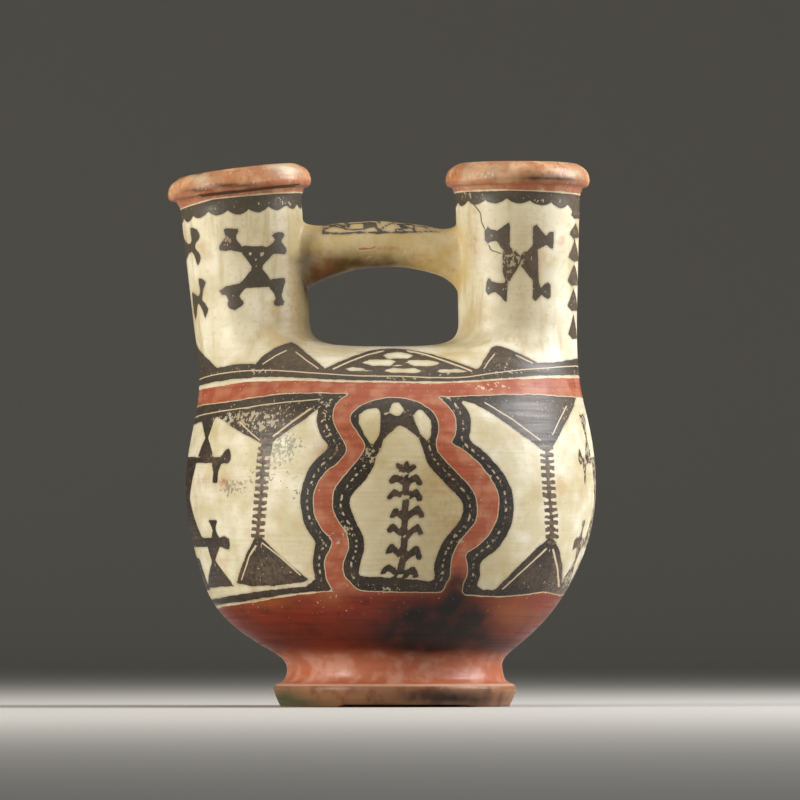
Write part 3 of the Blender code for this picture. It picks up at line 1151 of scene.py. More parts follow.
@dataclass(frozen=True)
class BellyFigures:
    """What is painted on the shoulder and the belly, in front-view places (x, height)."""

    round_about: tuple = (
        Figure(B, front(216, 416.5, 240, 409.5, 280, 404, 326, 399.5, 318, 409, 300, 422, 284, 433.5,
            270, 444, 262, 443.5, 250, 437.5, 233, 428, 222, 420)),
        Figure(B, front(450, 394.5, 500, 392.5, 540, 393, 577, 396, 574.5, 405, 569, 417, 561, 433,
            554, 446, 548.5, 452.5, 543, 449.5, 530, 440, 512, 427.5, 490, 412.5, 474, 403.5, 460, 399.5)),
        Figure(B, front(257, 533.5, 246, 553, 240, 570, 236, 583, 250, 586.5, 275, 585.5, 300, 582.5,
            318, 580.5, 309, 580, 293, 568, 275, 551)),
        Figure(B, front(552.5, 535, 530, 555, 510, 575, 495, 590, 495, 592, 561, 592, 561, 590, 563, 580,
            563.5, 566, 560, 550)),
        Figure(B, front(254, 365.5, 262, 357, 275, 348, 287, 343, 291, 341.5, 297, 344, 308, 354,
            318, 362.5, 327, 370, 300, 371, 270, 369)),
        Figure(B, front(196, 344, 200, 350, 205, 356, 212, 363, 219, 369.5, 210, 374, 196, 376)),
        Figure(B, front(477, 371.5, 484, 360, 490, 350, 492, 346, 497, 345, 508, 348.5, 520, 354,
            532, 359.5, 541, 363.5, 520, 368, 500, 371.5, 486, 373)),
        Figure(B, front(262, 441, 270, 441, 272.5, 447, 270, 455, 262, 456, 258.5, 450)),
        Figure(B, front(324, 371.5, 326, 368.5, 345, 359, 362, 352, 378, 348.5, 396, 347.5, 411, 349,
            430, 353, 450, 360, 465, 365, 479, 370, 479, 373.5, 440, 374, 400, 374.5, 350, 373.5)),
        Figure(C, front(381.5, 355.5, 390, 352, 405, 352, 414, 355.2, 407.5, 358.3, 387.5, 358.3)),
        Figure(C, front(361, 362.6, 370, 359.6, 387.5, 359.4, 396, 361.2, 390, 365.8, 372.5, 366.2)),
        Figure(C, front(404.5, 362, 410, 359.9, 430, 359.9, 440, 363, 432.5, 366.3, 414, 366.3)),
        Figure(C, front(344, 369, 350, 367.8, 362, 368, 377, 371.5, 350, 370.8)),
        Figure(C, front(384, 370.8, 392, 368.2, 414, 368.4, 424.5, 372, 414, 372.8, 392, 372.6)),
        Figure(C, front(433.5, 371.8, 443, 368.9, 459, 369, 469, 371.9, 455, 372.8, 441, 372.8)),
        Figure(C, front(394, 364.6, 402, 364.6, 402, 366.6, 394, 366.6)),
        Figure(C, front(551, 529, 554.5, 529, 553.5, 540.5, 552, 540.5)),
    )
    hairlines: tuple = (
        (1.0, front(311, 408.5, 292, 421.5, 273, 436.5)),
        (0.65, front(239, 422, 251, 433.5, 259, 440)),
        (0.6, front(485, 402.5, 512, 419, 541, 440)),
        (0.6, front(567, 406, 561, 418, 553, 435)),
        (1.0, front(256, 545, 249, 556)),
        (0.65, front(249, 556, 241, 580)),
        (0.7, front(262, 543, 280, 557, 300, 575)),
        (0.95, front(547.5, 548, 536, 559)),
        (0.65, front(536, 559, 502.5, 589.5)),
        (1.0, front(553.5, 549, 558.5, 570, 560, 587)),
        (0.6, front(263, 364, 275, 356, 286.5, 350.5)),
        (0.6, front(295.5, 351.5, 306, 360, 318, 368.5)),
        (0.6, front(484, 368.5, 489, 361, 495, 353.5)),
        (0.6, front(516, 355.5, 532.5, 363)),
        (0.8, front(333, 369, 350, 361.3, 367, 354.6, 386, 349.6)),
        (0.8, front(405, 349.6, 425, 354, 445, 361, 462, 367, 472, 371)),
    )
    toothed_lines: tuple = (
        front(265, 440, 263, 460, 261, 490, 258.5, 520, 257.5, 536),
        front(547, 448, 548.5, 480, 551, 510, 552.5, 538),
    )


@dataclass(frozen=True)
class Medallion:
    """The waisted panel in the middle of the front: black, red and black rims round a cream field."""

    dashed: tuple = (64.0, 157.0)
    outer: tuple = front(318, 394, 318, 408, 316, 421, 321, 436, 328, 447, 315, 460, 306, 474, 301, 489,
        300, 506, 303, 520, 308, 531, 315, 543, 313, 555, 313, 569, 315, 579, 316, 592, 476, 594, 477, 586,
        480, 576, 481, 562, 496, 551, 506, 537, 513, 520, 514, 503.5, 510.5, 487, 501, 470, 485, 452,
        470, 440, 471, 428, 470, 415, 461, 401, 458, 393)
    red_outer: tuple = front(352, 390, 349, 394, 339, 401, 333, 412, 334, 422, 341, 436, 346, 446,
        346, 453, 338, 463, 325, 473, 317, 485, 313, 499, 315, 515, 322, 529, 332, 540, 330, 550, 325, 561,
        325, 572, 328, 582, 334, 592, 338, 602, 458, 602, 462, 592, 463, 585, 467, 574, 467, 564, 466, 553,
        475, 547, 487, 537, 495, 523, 498.5, 509, 498, 495, 492, 481, 481, 466, 466, 452, 451.5, 443,
        454, 436, 456, 426, 454, 415, 444.5, 402.5, 433, 394, 430, 390)
    red_inner: tuple = front(390, 397, 372, 400, 358, 407, 351, 414, 350, 422, 357, 433, 363, 442,
        364, 447, 359.5, 457, 348, 470, 336, 485, 332, 496.5, 332, 509, 338, 522, 345, 531.5, 348, 541,
        347, 551, 343, 561, 343, 574, 350, 583, 361, 591, 380, 592.3, 397, 592.6, 420, 593, 441, 592.5,
        446.5, 585, 451, 576, 451, 567, 453.5, 555, 459, 544, 467.5, 533, 476, 522, 478, 510.5, 477, 499,
        472, 488, 460.5, 475, 446.5, 461, 438, 450, 437, 440, 439, 432, 439, 421, 431, 409.5, 417, 401,
        403, 397.5)
    cream: tuple = front(400, 425.6, 390, 433, 383, 440, 381, 449, 376, 456.5, 373.5, 467, 365, 480,
        351, 496.5, 350, 506, 356, 522, 363, 536, 364, 548, 362, 557, 359.5, 567, 360, 575.5, 380, 577,
        400, 578.5, 416, 580, 433, 581, 434, 569, 436, 558, 441, 546, 446.5, 537, 456, 526, 462, 516,
        462.6, 503.5, 456, 494, 442, 480, 428, 464, 423, 450, 418, 437.5, 411, 432)
    windows: tuple = (
        Figure(C, front(358.8, 415, 365.5, 409, 376.5, 408, 380, 411, 380.8, 423, 379, 436, 372, 446,
            364.5, 435, 358.6, 424)),
        Figure(C, front(388.6, 412.5, 392, 403.6, 398.3, 402.4, 404.4, 409, 400.8, 415, 395.5, 416.6)),
        Figure(C, front(413.2, 416.5, 417, 409.8, 421.5, 409.4, 431.3, 420, 430.8, 437, 427.5, 440.8,
            420.4, 434)),
    )
    plant: tuple = (
        Figure(B, front(400, 577, 402.5, 560, 404, 545, 404.8, 520, 405.8, 500, 406, 483), 3.3),
        Figure(B, front(403.5, 471.5, 398, 465.5), 2.9),
        Figure(B, front(405.5, 471, 406.3, 463.8), 2.9),
        Figure(B, front(407.5, 471.5, 413.8, 467), 2.9),
        Figure(B, front(405.8, 471, 405.8, 484), 2.9),
        Figure(B, front(404.5, 483.5, 395.5, 476.8, 391.6, 481), 3.0),
        Figure(B, front(407.5, 482.5, 415.8, 476.8, 419.5, 483.5), 3.0),
        Figure(B, front(403.5, 497, 394.5, 491.5, 389.6, 497.5), 2.8),
        Figure(B, front(408, 496.5, 416.4, 492, 419.6, 498.2), 3.2),
        Figure(B, front(404, 518, 395.4, 510.6, 392.5, 515.5), 3.0),
        Figure(B, front(406, 518, 418, 508.6, 421.4, 515), 3.1),
        Figure(B, front(404, 536.5, 392.6, 526.5, 389.8, 530), 3.0),
        Figure(B, front(406, 536, 417.4, 526.4, 420.4, 532.5), 3.0),
        Figure(B, front(403, 558.5, 391.6, 546.8, 387.6, 551.5), 3.0),
        Figure(B, front(405, 558, 416.4, 549, 419.3, 557), 3.1),
        Figure(B, front(399.5, 576.5, 388.5, 567, 383.5, 571.5), 3.0),
        Figure(B, front(402.5, 576.5, 412.8, 569.4, 416, 575.5), 3.0),
        Figure(C, front(402.6, 472.5, 406.6, 471.5, 407, 476, 403, 477)),
        Figure(C, front(401, 495.5, 409.5, 495.8, 408.5, 499.6, 402, 499.4)),
        Figure(C, front(402, 534, 406.3, 534, 406, 538.5, 402.6, 538.5)),
        Figure(C, front(400.6, 555.5, 404.8, 556, 404.4, 559.5, 401, 559)),
        Figure(C, front(397.5, 574.5, 403, 574.5, 402, 578, 398.5, 578)),
    )
    plain_middle: tuple = (
        Figure(B, places(30, 760, 30, 1180), 3.0),
        Figure(B, places(-90, 1040, 30, 960, 150, 1040), 2.5),
        Figure(B, places(-90, 900, 30, 820, 150, 900), 2.5),
    )


@dataclass(frozen=True)
class NeckFigures:
    """What is painted on the necks, unrolled: mm round from the front, and height."""

    spread: tuple = (
        Figure(B, leaning_neck(241.4, 245.9, 269.5, 246.8, 274.1, 252.8, 261.8, 266.8, 261.8, 268.3,
            270.5, 279, 269.8, 286.9, 262, 286.9, 245.8, 288.1, 239.8, 283.8, 252, 268.5, 252.3, 266.9,
            241, 251.9)),
        Figure(B, leaning_neck(223.5, 229.8, 226.8, 228.1, 237.8, 228.5, 239.1, 231.5, 234.9, 237.5,
            237.4, 240.6, 242, 245.6, 242.5, 252.5, 230.8, 250.6, 220.1, 250.4, 218.3, 248.1, 219.8, 244.4,
            225.3, 238.5, 226, 236.3)),
        Figure(B, leaning_neck(272, 236.3, 272.6, 233.1, 277, 232.1, 283.3, 232.1, 284.9, 234.4,
            281.1, 241.3, 287, 250, 285.8, 254.4, 280.1, 253.8, 272.8, 253.8, 268, 246.5, 275.1, 240)),
        Figure(B, leaning_neck(240.5, 283.4, 230.8, 285, 224.5, 286.3, 218.9, 291, 221.4, 295,
            225.8, 295.6, 228.3, 299.4, 226.8, 305, 229.5, 308.8, 234.5, 310.3, 243.3, 305, 243.9, 302.5,
            238.9, 296.9, 242.6, 291.3, 247, 287)),
        Figure(B, leaning_neck(269.6, 279, 285.5, 277.9, 285.8, 281.3, 282, 295, 282.6, 298.1,
            284.8, 301.3, 283.9, 305, 279.5, 306.3, 274.5, 305.6, 273.5, 302.5, 277, 297.3, 268.6, 286)),
        Figure(C, leaning_neck(248.3, 251.9, 251.3, 251.9, 252.2, 255.4, 249.6, 256.3)),
        Figure(C, leaning_neck(260.3, 253, 263.6, 252.4, 263.2, 255.6, 260.6, 256.3)),
        Figure(C, leaning_neck(253.8, 258, 256.2, 257.5, 257.6, 261, 255.8, 261.9)),
    )
    upright: tuple = (
        Figure(B, upright_neck(502.2, 250, 509, 247, 519, 258.5, 521, 262, 509.5, 281, 505.5, 283,
            502.5, 272)),
        Figure(B, upright_neck(509, 222.2, 510.5, 226, 509.4, 245.5, 517, 255, 502.5, 249, 496, 241,
            491, 241.5, 487.5, 244, 485, 240, 484.5, 231, 487.5, 226.5, 491, 229, 497, 230.5)),
        Figure(B, upright_neck(532.8, 226, 536.5, 224.5, 541, 230, 546, 236, 550, 231.5, 554, 231.5,
            554, 240, 553, 249.5, 549.5, 247, 546, 244.5, 538.5, 249.5, 520.5, 257, 533, 245.5)),
        Figure(B, upright_neck(520, 258, 538, 249.5, 539, 281, 535.5, 283, 521, 266)),
        Figure(B, upright_neck(514.5, 252, 525.5, 265), 2.0),
        Figure(B, upright_neck(525.5, 253, 514.5, 265.5), 2.0),
        Figure(B, upright_neck(533, 280, 533, 299, 536, 301.5, 540, 297, 542, 294.5, 548, 299.5,
            551.5, 297, 551, 283.5, 548, 282, 543.5, 285, 541.5, 288, 537.5, 277)),
        Figure(B, upright_neck(508, 278, 507, 290, 505.5, 302, 500, 296, 494, 292, 487.5, 295, 485, 291,
            486, 280, 489, 277, 491, 281, 496, 282.5, 502, 283, 507, 281)),
    )
    edge: tuple = (
        Figure(B, leaning_neck(191, 228.3, 193.8, 228, 197.2, 229.7, 199.7, 233.3, 200, 236.7, 198.8, 240,
            196.3, 242.5, 195.2, 245, 196, 249.2, 198.8, 252.5, 201, 256.7, 200, 261.7, 198, 265.8,
            196.3, 263.3, 195.2, 258.3, 193.8, 254.2, 191.7, 251, 190, 252.5, 188, 256.7, 186.3, 263.3,
            184, 259.7, 183, 250, 183, 235, 186.3, 240.8, 188.8, 244.2, 191, 243.7, 192.2, 240, 191.3, 235)),
        Figure(B, leaning_neck(198, 278.3, 201.3, 278.7, 205.5, 281.7, 204.7, 285.8, 202.7, 290,
            201.8, 295, 201.3, 300, 204.7, 303.3, 208, 308.3, 207.7, 313.3, 205, 318.3, 203.3, 315,
            202.2, 310.8, 199.7, 305.8, 197.7, 303.7, 196.3, 308.3, 195.8, 315, 194.7, 320, 192.7, 311.7,
            191.7, 301.7, 191.3, 291.7, 194.7, 294.2, 197.2, 296.3, 199.3, 295, 199.7, 290, 198.3, 283.3)),
    )
    column: tuple = (
        Figure(B, upright_neck(575.5, 203, 570, 214.5, 574, 219, 580, 218.5)),
        Figure(B, upright_neck(575, 223, 568.8, 233.5, 573.5, 238.7, 579.8, 237)),
        Figure(B, upright_neck(574.6, 240.5, 568.2, 256.5, 573, 261.5, 579.5, 261)),
        Figure(B, upright_neck(574.6, 263.5, 567.8, 281, 573, 286, 579.5, 285)),
        Figure(B, upright_neck(574.4, 288, 568, 306, 573, 311, 579, 310.5)),
        Figure(B, upright_neck(574.6, 314, 569, 334.4, 573.5, 339, 578.6, 338.5)),
    )
    cracks: tuple = (
        (0.6, upright_neck(474, 204, 481, 213, 482, 222, 485, 229)),
        (0.5, upright_neck(489, 245, 491, 250, 501, 253.5)),
        (0.5, upright_neck(508, 274, 507, 282, 506.5, 302)),
    )
    spread_turns: tuple = (0.0, -177.9)
    upright_turns: tuple = (0.0, 176.0)
    radii: tuple = (30.5, 31.3)


@dataclass(frozen=True)
class FlankFigures:
    """The figure on each flank, in mm from the flank's middle and height; it is the same both ways."""

    figures: tuple = (
        Figure(B, left_flank(202, 414, 218, 414, 208.3, 437.5, 214, 457, 198, 457, 205.8, 437.5)),
        Figure(B, left_flank(186, 457, 221, 457, 225, 449.5, 229, 448, 231.5, 458, 228.5, 464, 222, 463,
            186, 463)),
        Figure(B, left_flank(211.5, 462, 222, 462, 218.7, 472, 217.8, 483, 212.5, 483, 214, 472)),
        Figure(B, left_flank(186, 460, 197, 463, 189.5, 499, 202, 539, 194, 543, 186, 543)),
        Figure(B, left_flank(186, 538, 229, 538, 229, 547, 186, 547)),
        Figure(B, left_flank(208.5, 520, 217.5, 520, 215.5, 530, 219.5, 539, 211, 539, 213, 530)),
        Figure(B, left_flank(219, 538, 225, 536, 229.5, 541, 229, 550, 224, 549, 219, 545)),
        Figure(B, left_flank(206, 545, 220, 545, 215, 560, 238, 586, 214, 588, 212.3, 562)),
        Figure(B, left_flank(186, 556, 199, 559, 216, 590, 186, 590)),
    )
    middles: tuple = (-math.pi / 2, math.pi / 2)
    narrowing: tuple = (1.0, 0.62)
    right_marks: tuple = (("wear", ((20, 104, 50, 50, 1.3),)), ("brown", ((20, 104, 60, 60, 1.2),)))
    centre: float = -2.0
    radius: float = 95.0
    reach: float = 0.9
    half_widths: tuple = (
        (54, 88), (60, 91.5), (78, 101), (105, 105.2), (132, 103.6), (154, 98.9), (SHOULDER_HEIGHT, 97.3),
    )
    half_depths: tuple = ((54, 85), (78, 91.7), (105, 94), (132, 91.3), (154, 80.8), (SHOULDER_HEIGHT, 61))


@dataclass(frozen=True)
class BodyMarks:
    """Marks on the body, in pixels: (across, down, reach across, reach up, strength).

    Most are marks of long use. The sooty marks are partly smoke-blackening and partly painted shade low in
    the bowl's middle; a few worn spots on the black over the right shoulder are painted sheen; the tan mark
    at the leaning neck's foot, under the bar, is painted shade.
    """

    rust: tuple = seen_marks((446, 480, 8, 14, 0.35), (205, 480, 9, 5, 0.5), (224, 482, 5, 5, 0.7),
        (228, 486, 12, 9, 0.5), (255, 422, 30, 10, 0.25), (445, 500, 26, 60, 0.22), (330, 452, 12, 9, 0.8),
        (300, 340, 10, 8, 0.2), (420, 575, 22, 5, 0.25), (540, 345, 18, 5, 0.2), (265, 602, 30, 6, 0.6),
        (330, 598, 14, 7, 0.7), (512, 612, 30, 16, 0.75), (258, 470, 5, 26, 0.2))
    grey: tuple = seen_marks((230, 488, 14, 9, 1), (262, 470, 22, 34, 0.8), (288, 446, 18, 18, 1),
        (300, 490, 14, 20, 0.6), (225, 520, 12, 14, 0.35), (240, 560, 14, 16, 0.35),
        (345, 352, 24, 6, 0.35), (530, 520, 14, 20, 0.3), (300, 703, 34, 5, 0.95), (292, 694, 16, 8, 0.5),
        (282, 698, 10, 8, 0.6))
    # Sooty marks: partly smoke-blackening, partly painted shade low in the bowl's middle and on the red band
    # above it.
    soot: tuple = seen_marks((438, 622, 40, 24, 1.2), (458, 592, 12, 14, 0.8), (420, 642, 50, 14, 0.9),
        (500, 647, 22, 12, 0.4), (340, 632, 60, 14, 0.3), (432, 697, 52, 8, 0.6), (470, 700, 30, 8, 0.7),
        (400, 618, 30, 20, 0.4), (468, 617, 17, 15, 1.1), (457, 582, 10, 12, 0.5), (480, 642, 20, 10, 0.6),
        (300, 640, 20, 8, 0.25))
    # Mostly worn paint; the spots on the black over the right shoulder are painted sheen.
    wear: tuple = seen_marks((232, 418, 24, 9, 1), (262, 424, 26, 12, 1), (487, 387, 16, 4, 0.9),
        (256, 371, 10, 4, 0.9), (505, 374, 24, 9, 0.6), (558, 372, 22, 6, 0.5), (340, 534, 9, 9, 1),
        (462, 541, 9, 5, 1), (383, 591, 7, 4, 1), (430, 376, 60, 8, 0.4), (375, 450, 10, 12, 0.6),
        (398, 352, 50, 8, 0.5), (290, 408, 26, 8, 0.7), (325, 405, 12, 14, 0.5), (345, 455, 10, 10, 0.5),
        (588, 450, 10, 40, 0.8), (228, 371, 24, 4, 0.35), (520, 588, 16, 5, 0.4), (404, 379, 30, 2.5, 0.7),
        (495, 387, 14, 4, 0.9), (300, 391, 60, 4, 0.6), (368, 458, 8, 10, 0.8), (570, 578, 12, 8, 0.5),
        (226, 604, 14, 4, 0.4), (326, 436, 8, 14, 0.4), (335, 535, 12, 8, 0.45), (392, 589, 6, 3, 0.8),
        (460, 537, 8, 5, 0.7), (452, 371, 16, 3, 0.9), (543, 410, 26, 14, 0.25), (340, 535, 10, 14, 0.4),
        (330, 500, 10, 40, 0.25), (480, 500, 16, 50, 0.2), (262, 575, 16, 12, 0.3))
    # Brown staining; the mark at the leaning neck's foot, under the bar, is painted shade.
    tan: tuple = seen_marks((438, 490, 26, 46, 1.2), (455, 530, 14, 36, 0.7), (405, 560, 44, 20, 0.7),
        (380, 505, 22, 44, 0.6), (400, 450, 20, 20, 0.4), (500, 560, 18, 22, 0.6), (300, 545, 26, 20, 0.5),
        (575, 470, 8, 30, 0.3), (540, 575, 16, 12, 0.4), (296, 330, 14, 20, 0.9), (330, 350, 30, 6, 0.5),
        (480, 480, 16, 30, 0.4))
    brown: tuple = seen_marks((268, 572, 30, 18, 0.65), (266, 420, 34, 16, 0.7), (540, 575, 24, 16, 0.3),
        (225, 560, 12, 26, 0.5), (214, 460, 14, 10, 0.5), (405, 500, 24, 70, 0.45),
        (292, 360, 26, 12, 0.4), (398, 362, 70, 9, 0.3), (510, 360, 30, 9, 0.45), (540, 410, 30, 20, 0.35),
        (340, 372, 130, 5, 0.3))


@dataclass(frozen=True)
class NeckMarks:
    """Marks on the necks, unrolled as their figures are.

    Most are marks of long use. The sooty marks paint shade: a dark line in the groove under each lip's roll
    and, on the leaning neck, the shade under the bar's root. The tan strip up the leaning neck's side beside
    the bar is partly painted shade, and the worn spot on its black band's right end partly painted sheen.
    """

    leaning: tuple = (
        # The spot at 24 mm round, on the black band, is partly painted sheen.
        ("wear", ((-19, 213, 6, 5, 0.45), (25, 274.3, 7, 2.5, 1.2), (24, 258, 9, 5, 0.5),
            (-8.7, 237, 3.5, 3.5, 1.2), (0, 256, 90, 5, 0.12), (-18, 268.9, 6, 2.2, 0.6))),
        ("brown", ((-18, 213, 8, 6, 0.5),)),
        ("rust", ((26, 205, 7, 14, 0.3), (-7.5, 237.5, 3, 3, 0.8), (14, 236, 4, 6, 0.3))),
        # Painted shade: the groove under the lip's roll, and under the bar's root at 43 mm round.
        ("soot", ((-22.4, 272.4, 4, 1.2, 0.9), (-20, 263.2, 9, 1.1, 0.9), (-3, 265.2, 10, 1.1, 0.9),
            (14, 272.8, 9, 3, 0.22), (43, 219, 7, 6, 0.9))),
        # The strip at 30 mm round, beside the bar, is partly painted shade.
        ("tan", ((30, 220, 9, 40, 1), (0, 236, 14, 18, 0.45), (10, 250, 40, 8, 0.25))),
        ("grey", ((2, 212, 6, 7, 0.4),)),
    )
    upright: tuple = (
        ("wear", ((-19.5, 254, 5, 5, 0.6), (-15, 236, 5, 5, 0.45), (-2, 227, 7, 4, 0.75),
            (-3, 228, 9, 6, 0.7), (-6, 214, 3, 8, 0.8), (-15, 216, 5, 4, 0.4), (9, 216, 4, 4, 0.45),
            (-28, 262, 6, 4, 0.6), (9, 258, 4, 3, 0.5), (0, 256, 90, 5, 0.12), (-25.7, 272, 3, 5, 0.4),
            (-8, 272.5, 11, 3.5, 0.4), (30, 271, 8, 5, 0.4), (-20, 266, 12, 2, 0.3), (40, 225, 6, 40, 0.35))),
        ("brown", ((0, 228, 24, 22, 0.45), (40, 225, 8, 40, 0.5), (30, 258, 14, 6, 0.4))),
        # Painted shade in the groove under the lip's roll.
        ("soot", ((12, 271.3, 10, 1.3, 0.5), (14, 269, 20, 1.2, 1))),
        ("tan", ((-28, 235, 9, 30, 0.5), (2, 205, 8, 22, 0.7), (4, 240, 9, 14, 0.6), (24, 250, 8, 8, 0.3),
            (-8, 245, 10, 14, 0.3))),
        ("rust", ((-26, 236, 6, 8, 0.3),)),
    )


@dataclass(frozen=True)
class BarFigures:
    """What is painted on the bar: mm along the jar's width, and mm round the bar from its top."""

    stroke_width: float = 1.25
    strokes: tuple = (
        places(-370, -94, -280, -116, -100, -128, 10, -122, 120, -102, 220, -68),
        places(-370, 94, -280, 116, -100, 128, 10, 122, 120, 102, 220, 68),
        places(-370, -94, -374, 94),
        places(-360, -75, -300, -30, -245, -100, -240, 80, -330, 20, -360, 60),
        places(-350, -20, -270, -85, -250, -20, -340, 75, -260, 45),
        places(-230, -100, -234, -50, -155, -44, -158, -104, -230, -100),
        places(-230, 100, -234, 50, -155, 44, -158, 104, -230, 100),
        places(-150, -20, -90, -105, -80, -30, -140, 40, -90, 105),
        places(-80, -115, 0, -30, -70, 30, 0, 110),
        places(0, -105, 80, -80, 10, -55, 90, -40, 10, -10, 90, 10, 10, 40, 80, 80),
        places(100, -96, 100, -45, 165, -40, 170, -74),
        places(100, 96, 100, 45, 165, 40, 170, 74),
        places(-370, 0, -80, 6, 200, -5),
    )
    blots: tuple = (
        Figure(B, places(-145, -105, -105, -90, -95, -50, -125, -35, -150, -60)),
        Figure(B, places(20, -90, 65, -84, 60, -56, 26, -62)),
        Figure(R, places(-190, -206, -140, -210, -96, -203), 0.9),
    )
    scratches: tuple = ((0.7, places(-142, -260, -124, -252)), (0.6, places(40, -244, 54, -217)))
    marks: tuple = (
        ("rust", ((-3, -20.8, 8, 0.9, 0.7), (-38, -24, 6, 7, 0.6), (16, -24, 9, 3, 0.35),
            (-36, -32, 12, 6, 0.5), (30, -26, 3, 2, 0.5))),
        ("tan", ((-5, -30, 34, 7, 0.8), (-32, -26, 14, 9, 0.8))),
        ("wear", ((-10, 0, 40, 14, 0.2),)),
        ("brown", ((-10, 0, 40, 14, 0.15),)),
        # Painted shade under the bar's root at the leaning neck.
        ("soot", ((-36, -36, 14, 5, 0.8),)),
    )


@dataclass
class Decoration:
    """Lays the pattern, its thin lines, marks of long use and some painted shade and sheen on every point of
    the skin.

    On a neck, bare clay begins at the throat's radii, the lip's colour at roll's heights below the crest,
    a share of it at red_rise, and the bar's colour within bar_root of the bar's end.
    """

    jar: Jar
    points: Array  # the places of the skin's points, in millimetres
    zones: Array  # the zone of each point
    bands: Bands = Bands()
    belly: BellyFigures = BellyFigures()
    medallion: Medallion = Medallion()
    necks: NeckFigures = NeckFigures()
    flank: FlankFigures = FlankFigures()
    body_marks: BodyMarks = BodyMarks()
    neck_marks: NeckMarks = NeckMarks()
    bar: BarFigures = BarFigures()
    neck_from: float = 181.0
    neck_reach: float = 36.0
    bands_from: float = 235.0
    throat: tuple = (28.6, 26.3)
    roll: tuple = (-10.5, -9.0)
    red_rise: tuple = (245.0, 252.0)
    red_share: float = 0.45
    bar_root: tuple = (27.0, 15.0)
    # Painted shade: a dark line in the groove under the leaning lip's roll, this far below the crest and
    # along these places.
    groove_drop: float = 12.3
    groove: tuple = ((-19.0, 0.2), (0.0, 0.0), (14.0, 0.3), (32.0, 0.5))
    scallop_depth: float = 2.5
    leaning_pitch: tuple = (10.65, 4.0)
    upright_pitch: tuple = (11.6, -5.8)
    marks_behind: tuple = (
        ("tan", ((30, 110, 30, 20, 0.7), (-60, 95, 20, 24, 0.6))),
        ("rust", ((-40, 120, 25, 20, 0.4), (50, 100, 12, 16, 0.4))),
        ("wear", ((60, 140, 20, 10, 0.7), (-50, 60, 16, 8, 0.7))),
        ("soot", ((10, 38, 22, 9, 0.5),)),
    )
    leaning_line: tuple = places(-1120, 2542, -1097, 2547, -928, 2588, -700, 2609, -440, 2636)
    upright_line: tuple = places(280, 2632, 610, 2632, 980, 2620)
    leaning_scallop: tuple = places(-1070, 2499, -1030, 2507, -970, 2525, -856, 2530, -746, 2536,
        -620, 2554, -440, 2580)
    upright_scallop: tuple = places(300, 2582, 570, 2592, 800, 2574, 940, 2558)

    def __post_init__(self) -> None:
        """Starts with bare slip, and with bare clay inside and under the foot."""
        self.brush = Brush(len(self.points))
        self.place = np.zeros((len(self.points), 3))
        self.place[:, 0] = (self.zones == Zone.INSIDE.value) | (self.zones == Zone.UNDERSIDE.value)

    def paint(self) -> tuple[Brush, Array]:
        """Draws everything.

        Returns:
            The brush with its distances, and for each point the shares (inside, lip, handle).
        """
        self.body()
        self.flanks()
        self.neck(self.jar.leaning)
        self.neck(self.jar.upright)
        self.handle()
        return self.brush, self.place

    def body(self) -> None:
        """The bands, the shoulder's and belly's figures and the panel in the middle."""
        brush, (x, y, z) = self.brush, self.points.T
        outside = self.zones == Zone.BODY.value
        chart = Chart(x, z, outside)
        edge = {name: curve_at(line, x) for name, line in vars(self.bands).items()}
        brush.band(chart, B, edge["black_top"], edge["black_bottom"])
        brush.band(Chart(x, z, outside & (x < -35)), B, edge["red_bottom"] - 0.2, edge["left_bottom"])
        brush.band(Chart(x, z, outside & ((x < -31.5) | (x > 36))), B, edge["low_top"], edge["low_bottom"])
        brush.draw(chart, self.belly.round_about)
        brush.scratch(chart, "hairline", self.belly.hairlines)
        for corners in self.belly.toothed_lines:
            brush.toothed(chart, corners)
        self.panel(chart, y)
        brush.band(chart, R, edge["red_top"], edge["red_bottom"])
        brush.band(chart, R, edge["zone_top"], np.full_like(z, -20.0))
        brush.band_line(chart, edge["black_line"], 0.55)
        brush.band_line(Chart(x, z, outside & (x < -37)), edge["left_line"], 0.55)
        # Marks of long use, with painted shade and sheen among them.
        brush.lay_marks(Chart(x, z, outside & (y < 0)), vars(self.body_marks).items())
        brush.lay_marks(Chart(-x, z, outside & (y >= 0)), self.marks_behind)

    def panel(self, chart: Chart, y: Array) -> None:
        """The waisted panel: its rims, its field and on the front its openings and its plant.

        Args:
            chart: The body's front view.
            y: Depth of each point.
        """
        brush, names = self.brush, ("outer", "red_outer", "red_inner", "cream")
        rims = {name: rounded(np.array(getattr(self.medallion, name)), 3) for name in names}
        picked, spots = chart.close_to(rims["outer"], FAR)
        outer, red_outer, red_inner, cream = (depth(spots, rims[name]) for name in names)
        brush.lay(picked, B, np.maximum(outer, -cream))
        brush.lay(picked, C, cream)
        brush.lay(picked, R, np.maximum(red_outer, -red_inner))
        past = red_outer > 0
        along = [to_line(spots, rims[name], True)[3] for name in ("red_outer", "cream")]
        side = np.where(past, np.abs(red_outer) - np.abs(outer), np.abs(red_inner) - np.abs(cream)) / 2
        black = np.where(past, np.maximum(outer, -red_outer), np.maximum(red_inner, -cream))
        low, high = self.medallion.dashed
        on_stripe = (black < 0) & (spots[:, 1] < high) & (spots[:, 1] > low)
        brush.dashes[picked] = np.stack([side, np.where(past, *along), 1.0 * on_stripe], -1)
        front = Chart(chart.across, chart.height, chart.where & (y < 0))
        brush.draw(front, self.medallion.windows)
        brush.draw(front, self.medallion.plant)
        behind = Chart(chart.across, chart.height, chart.where & (y >= 0))
        brush.draw(behind, self.medallion.plain_middle)

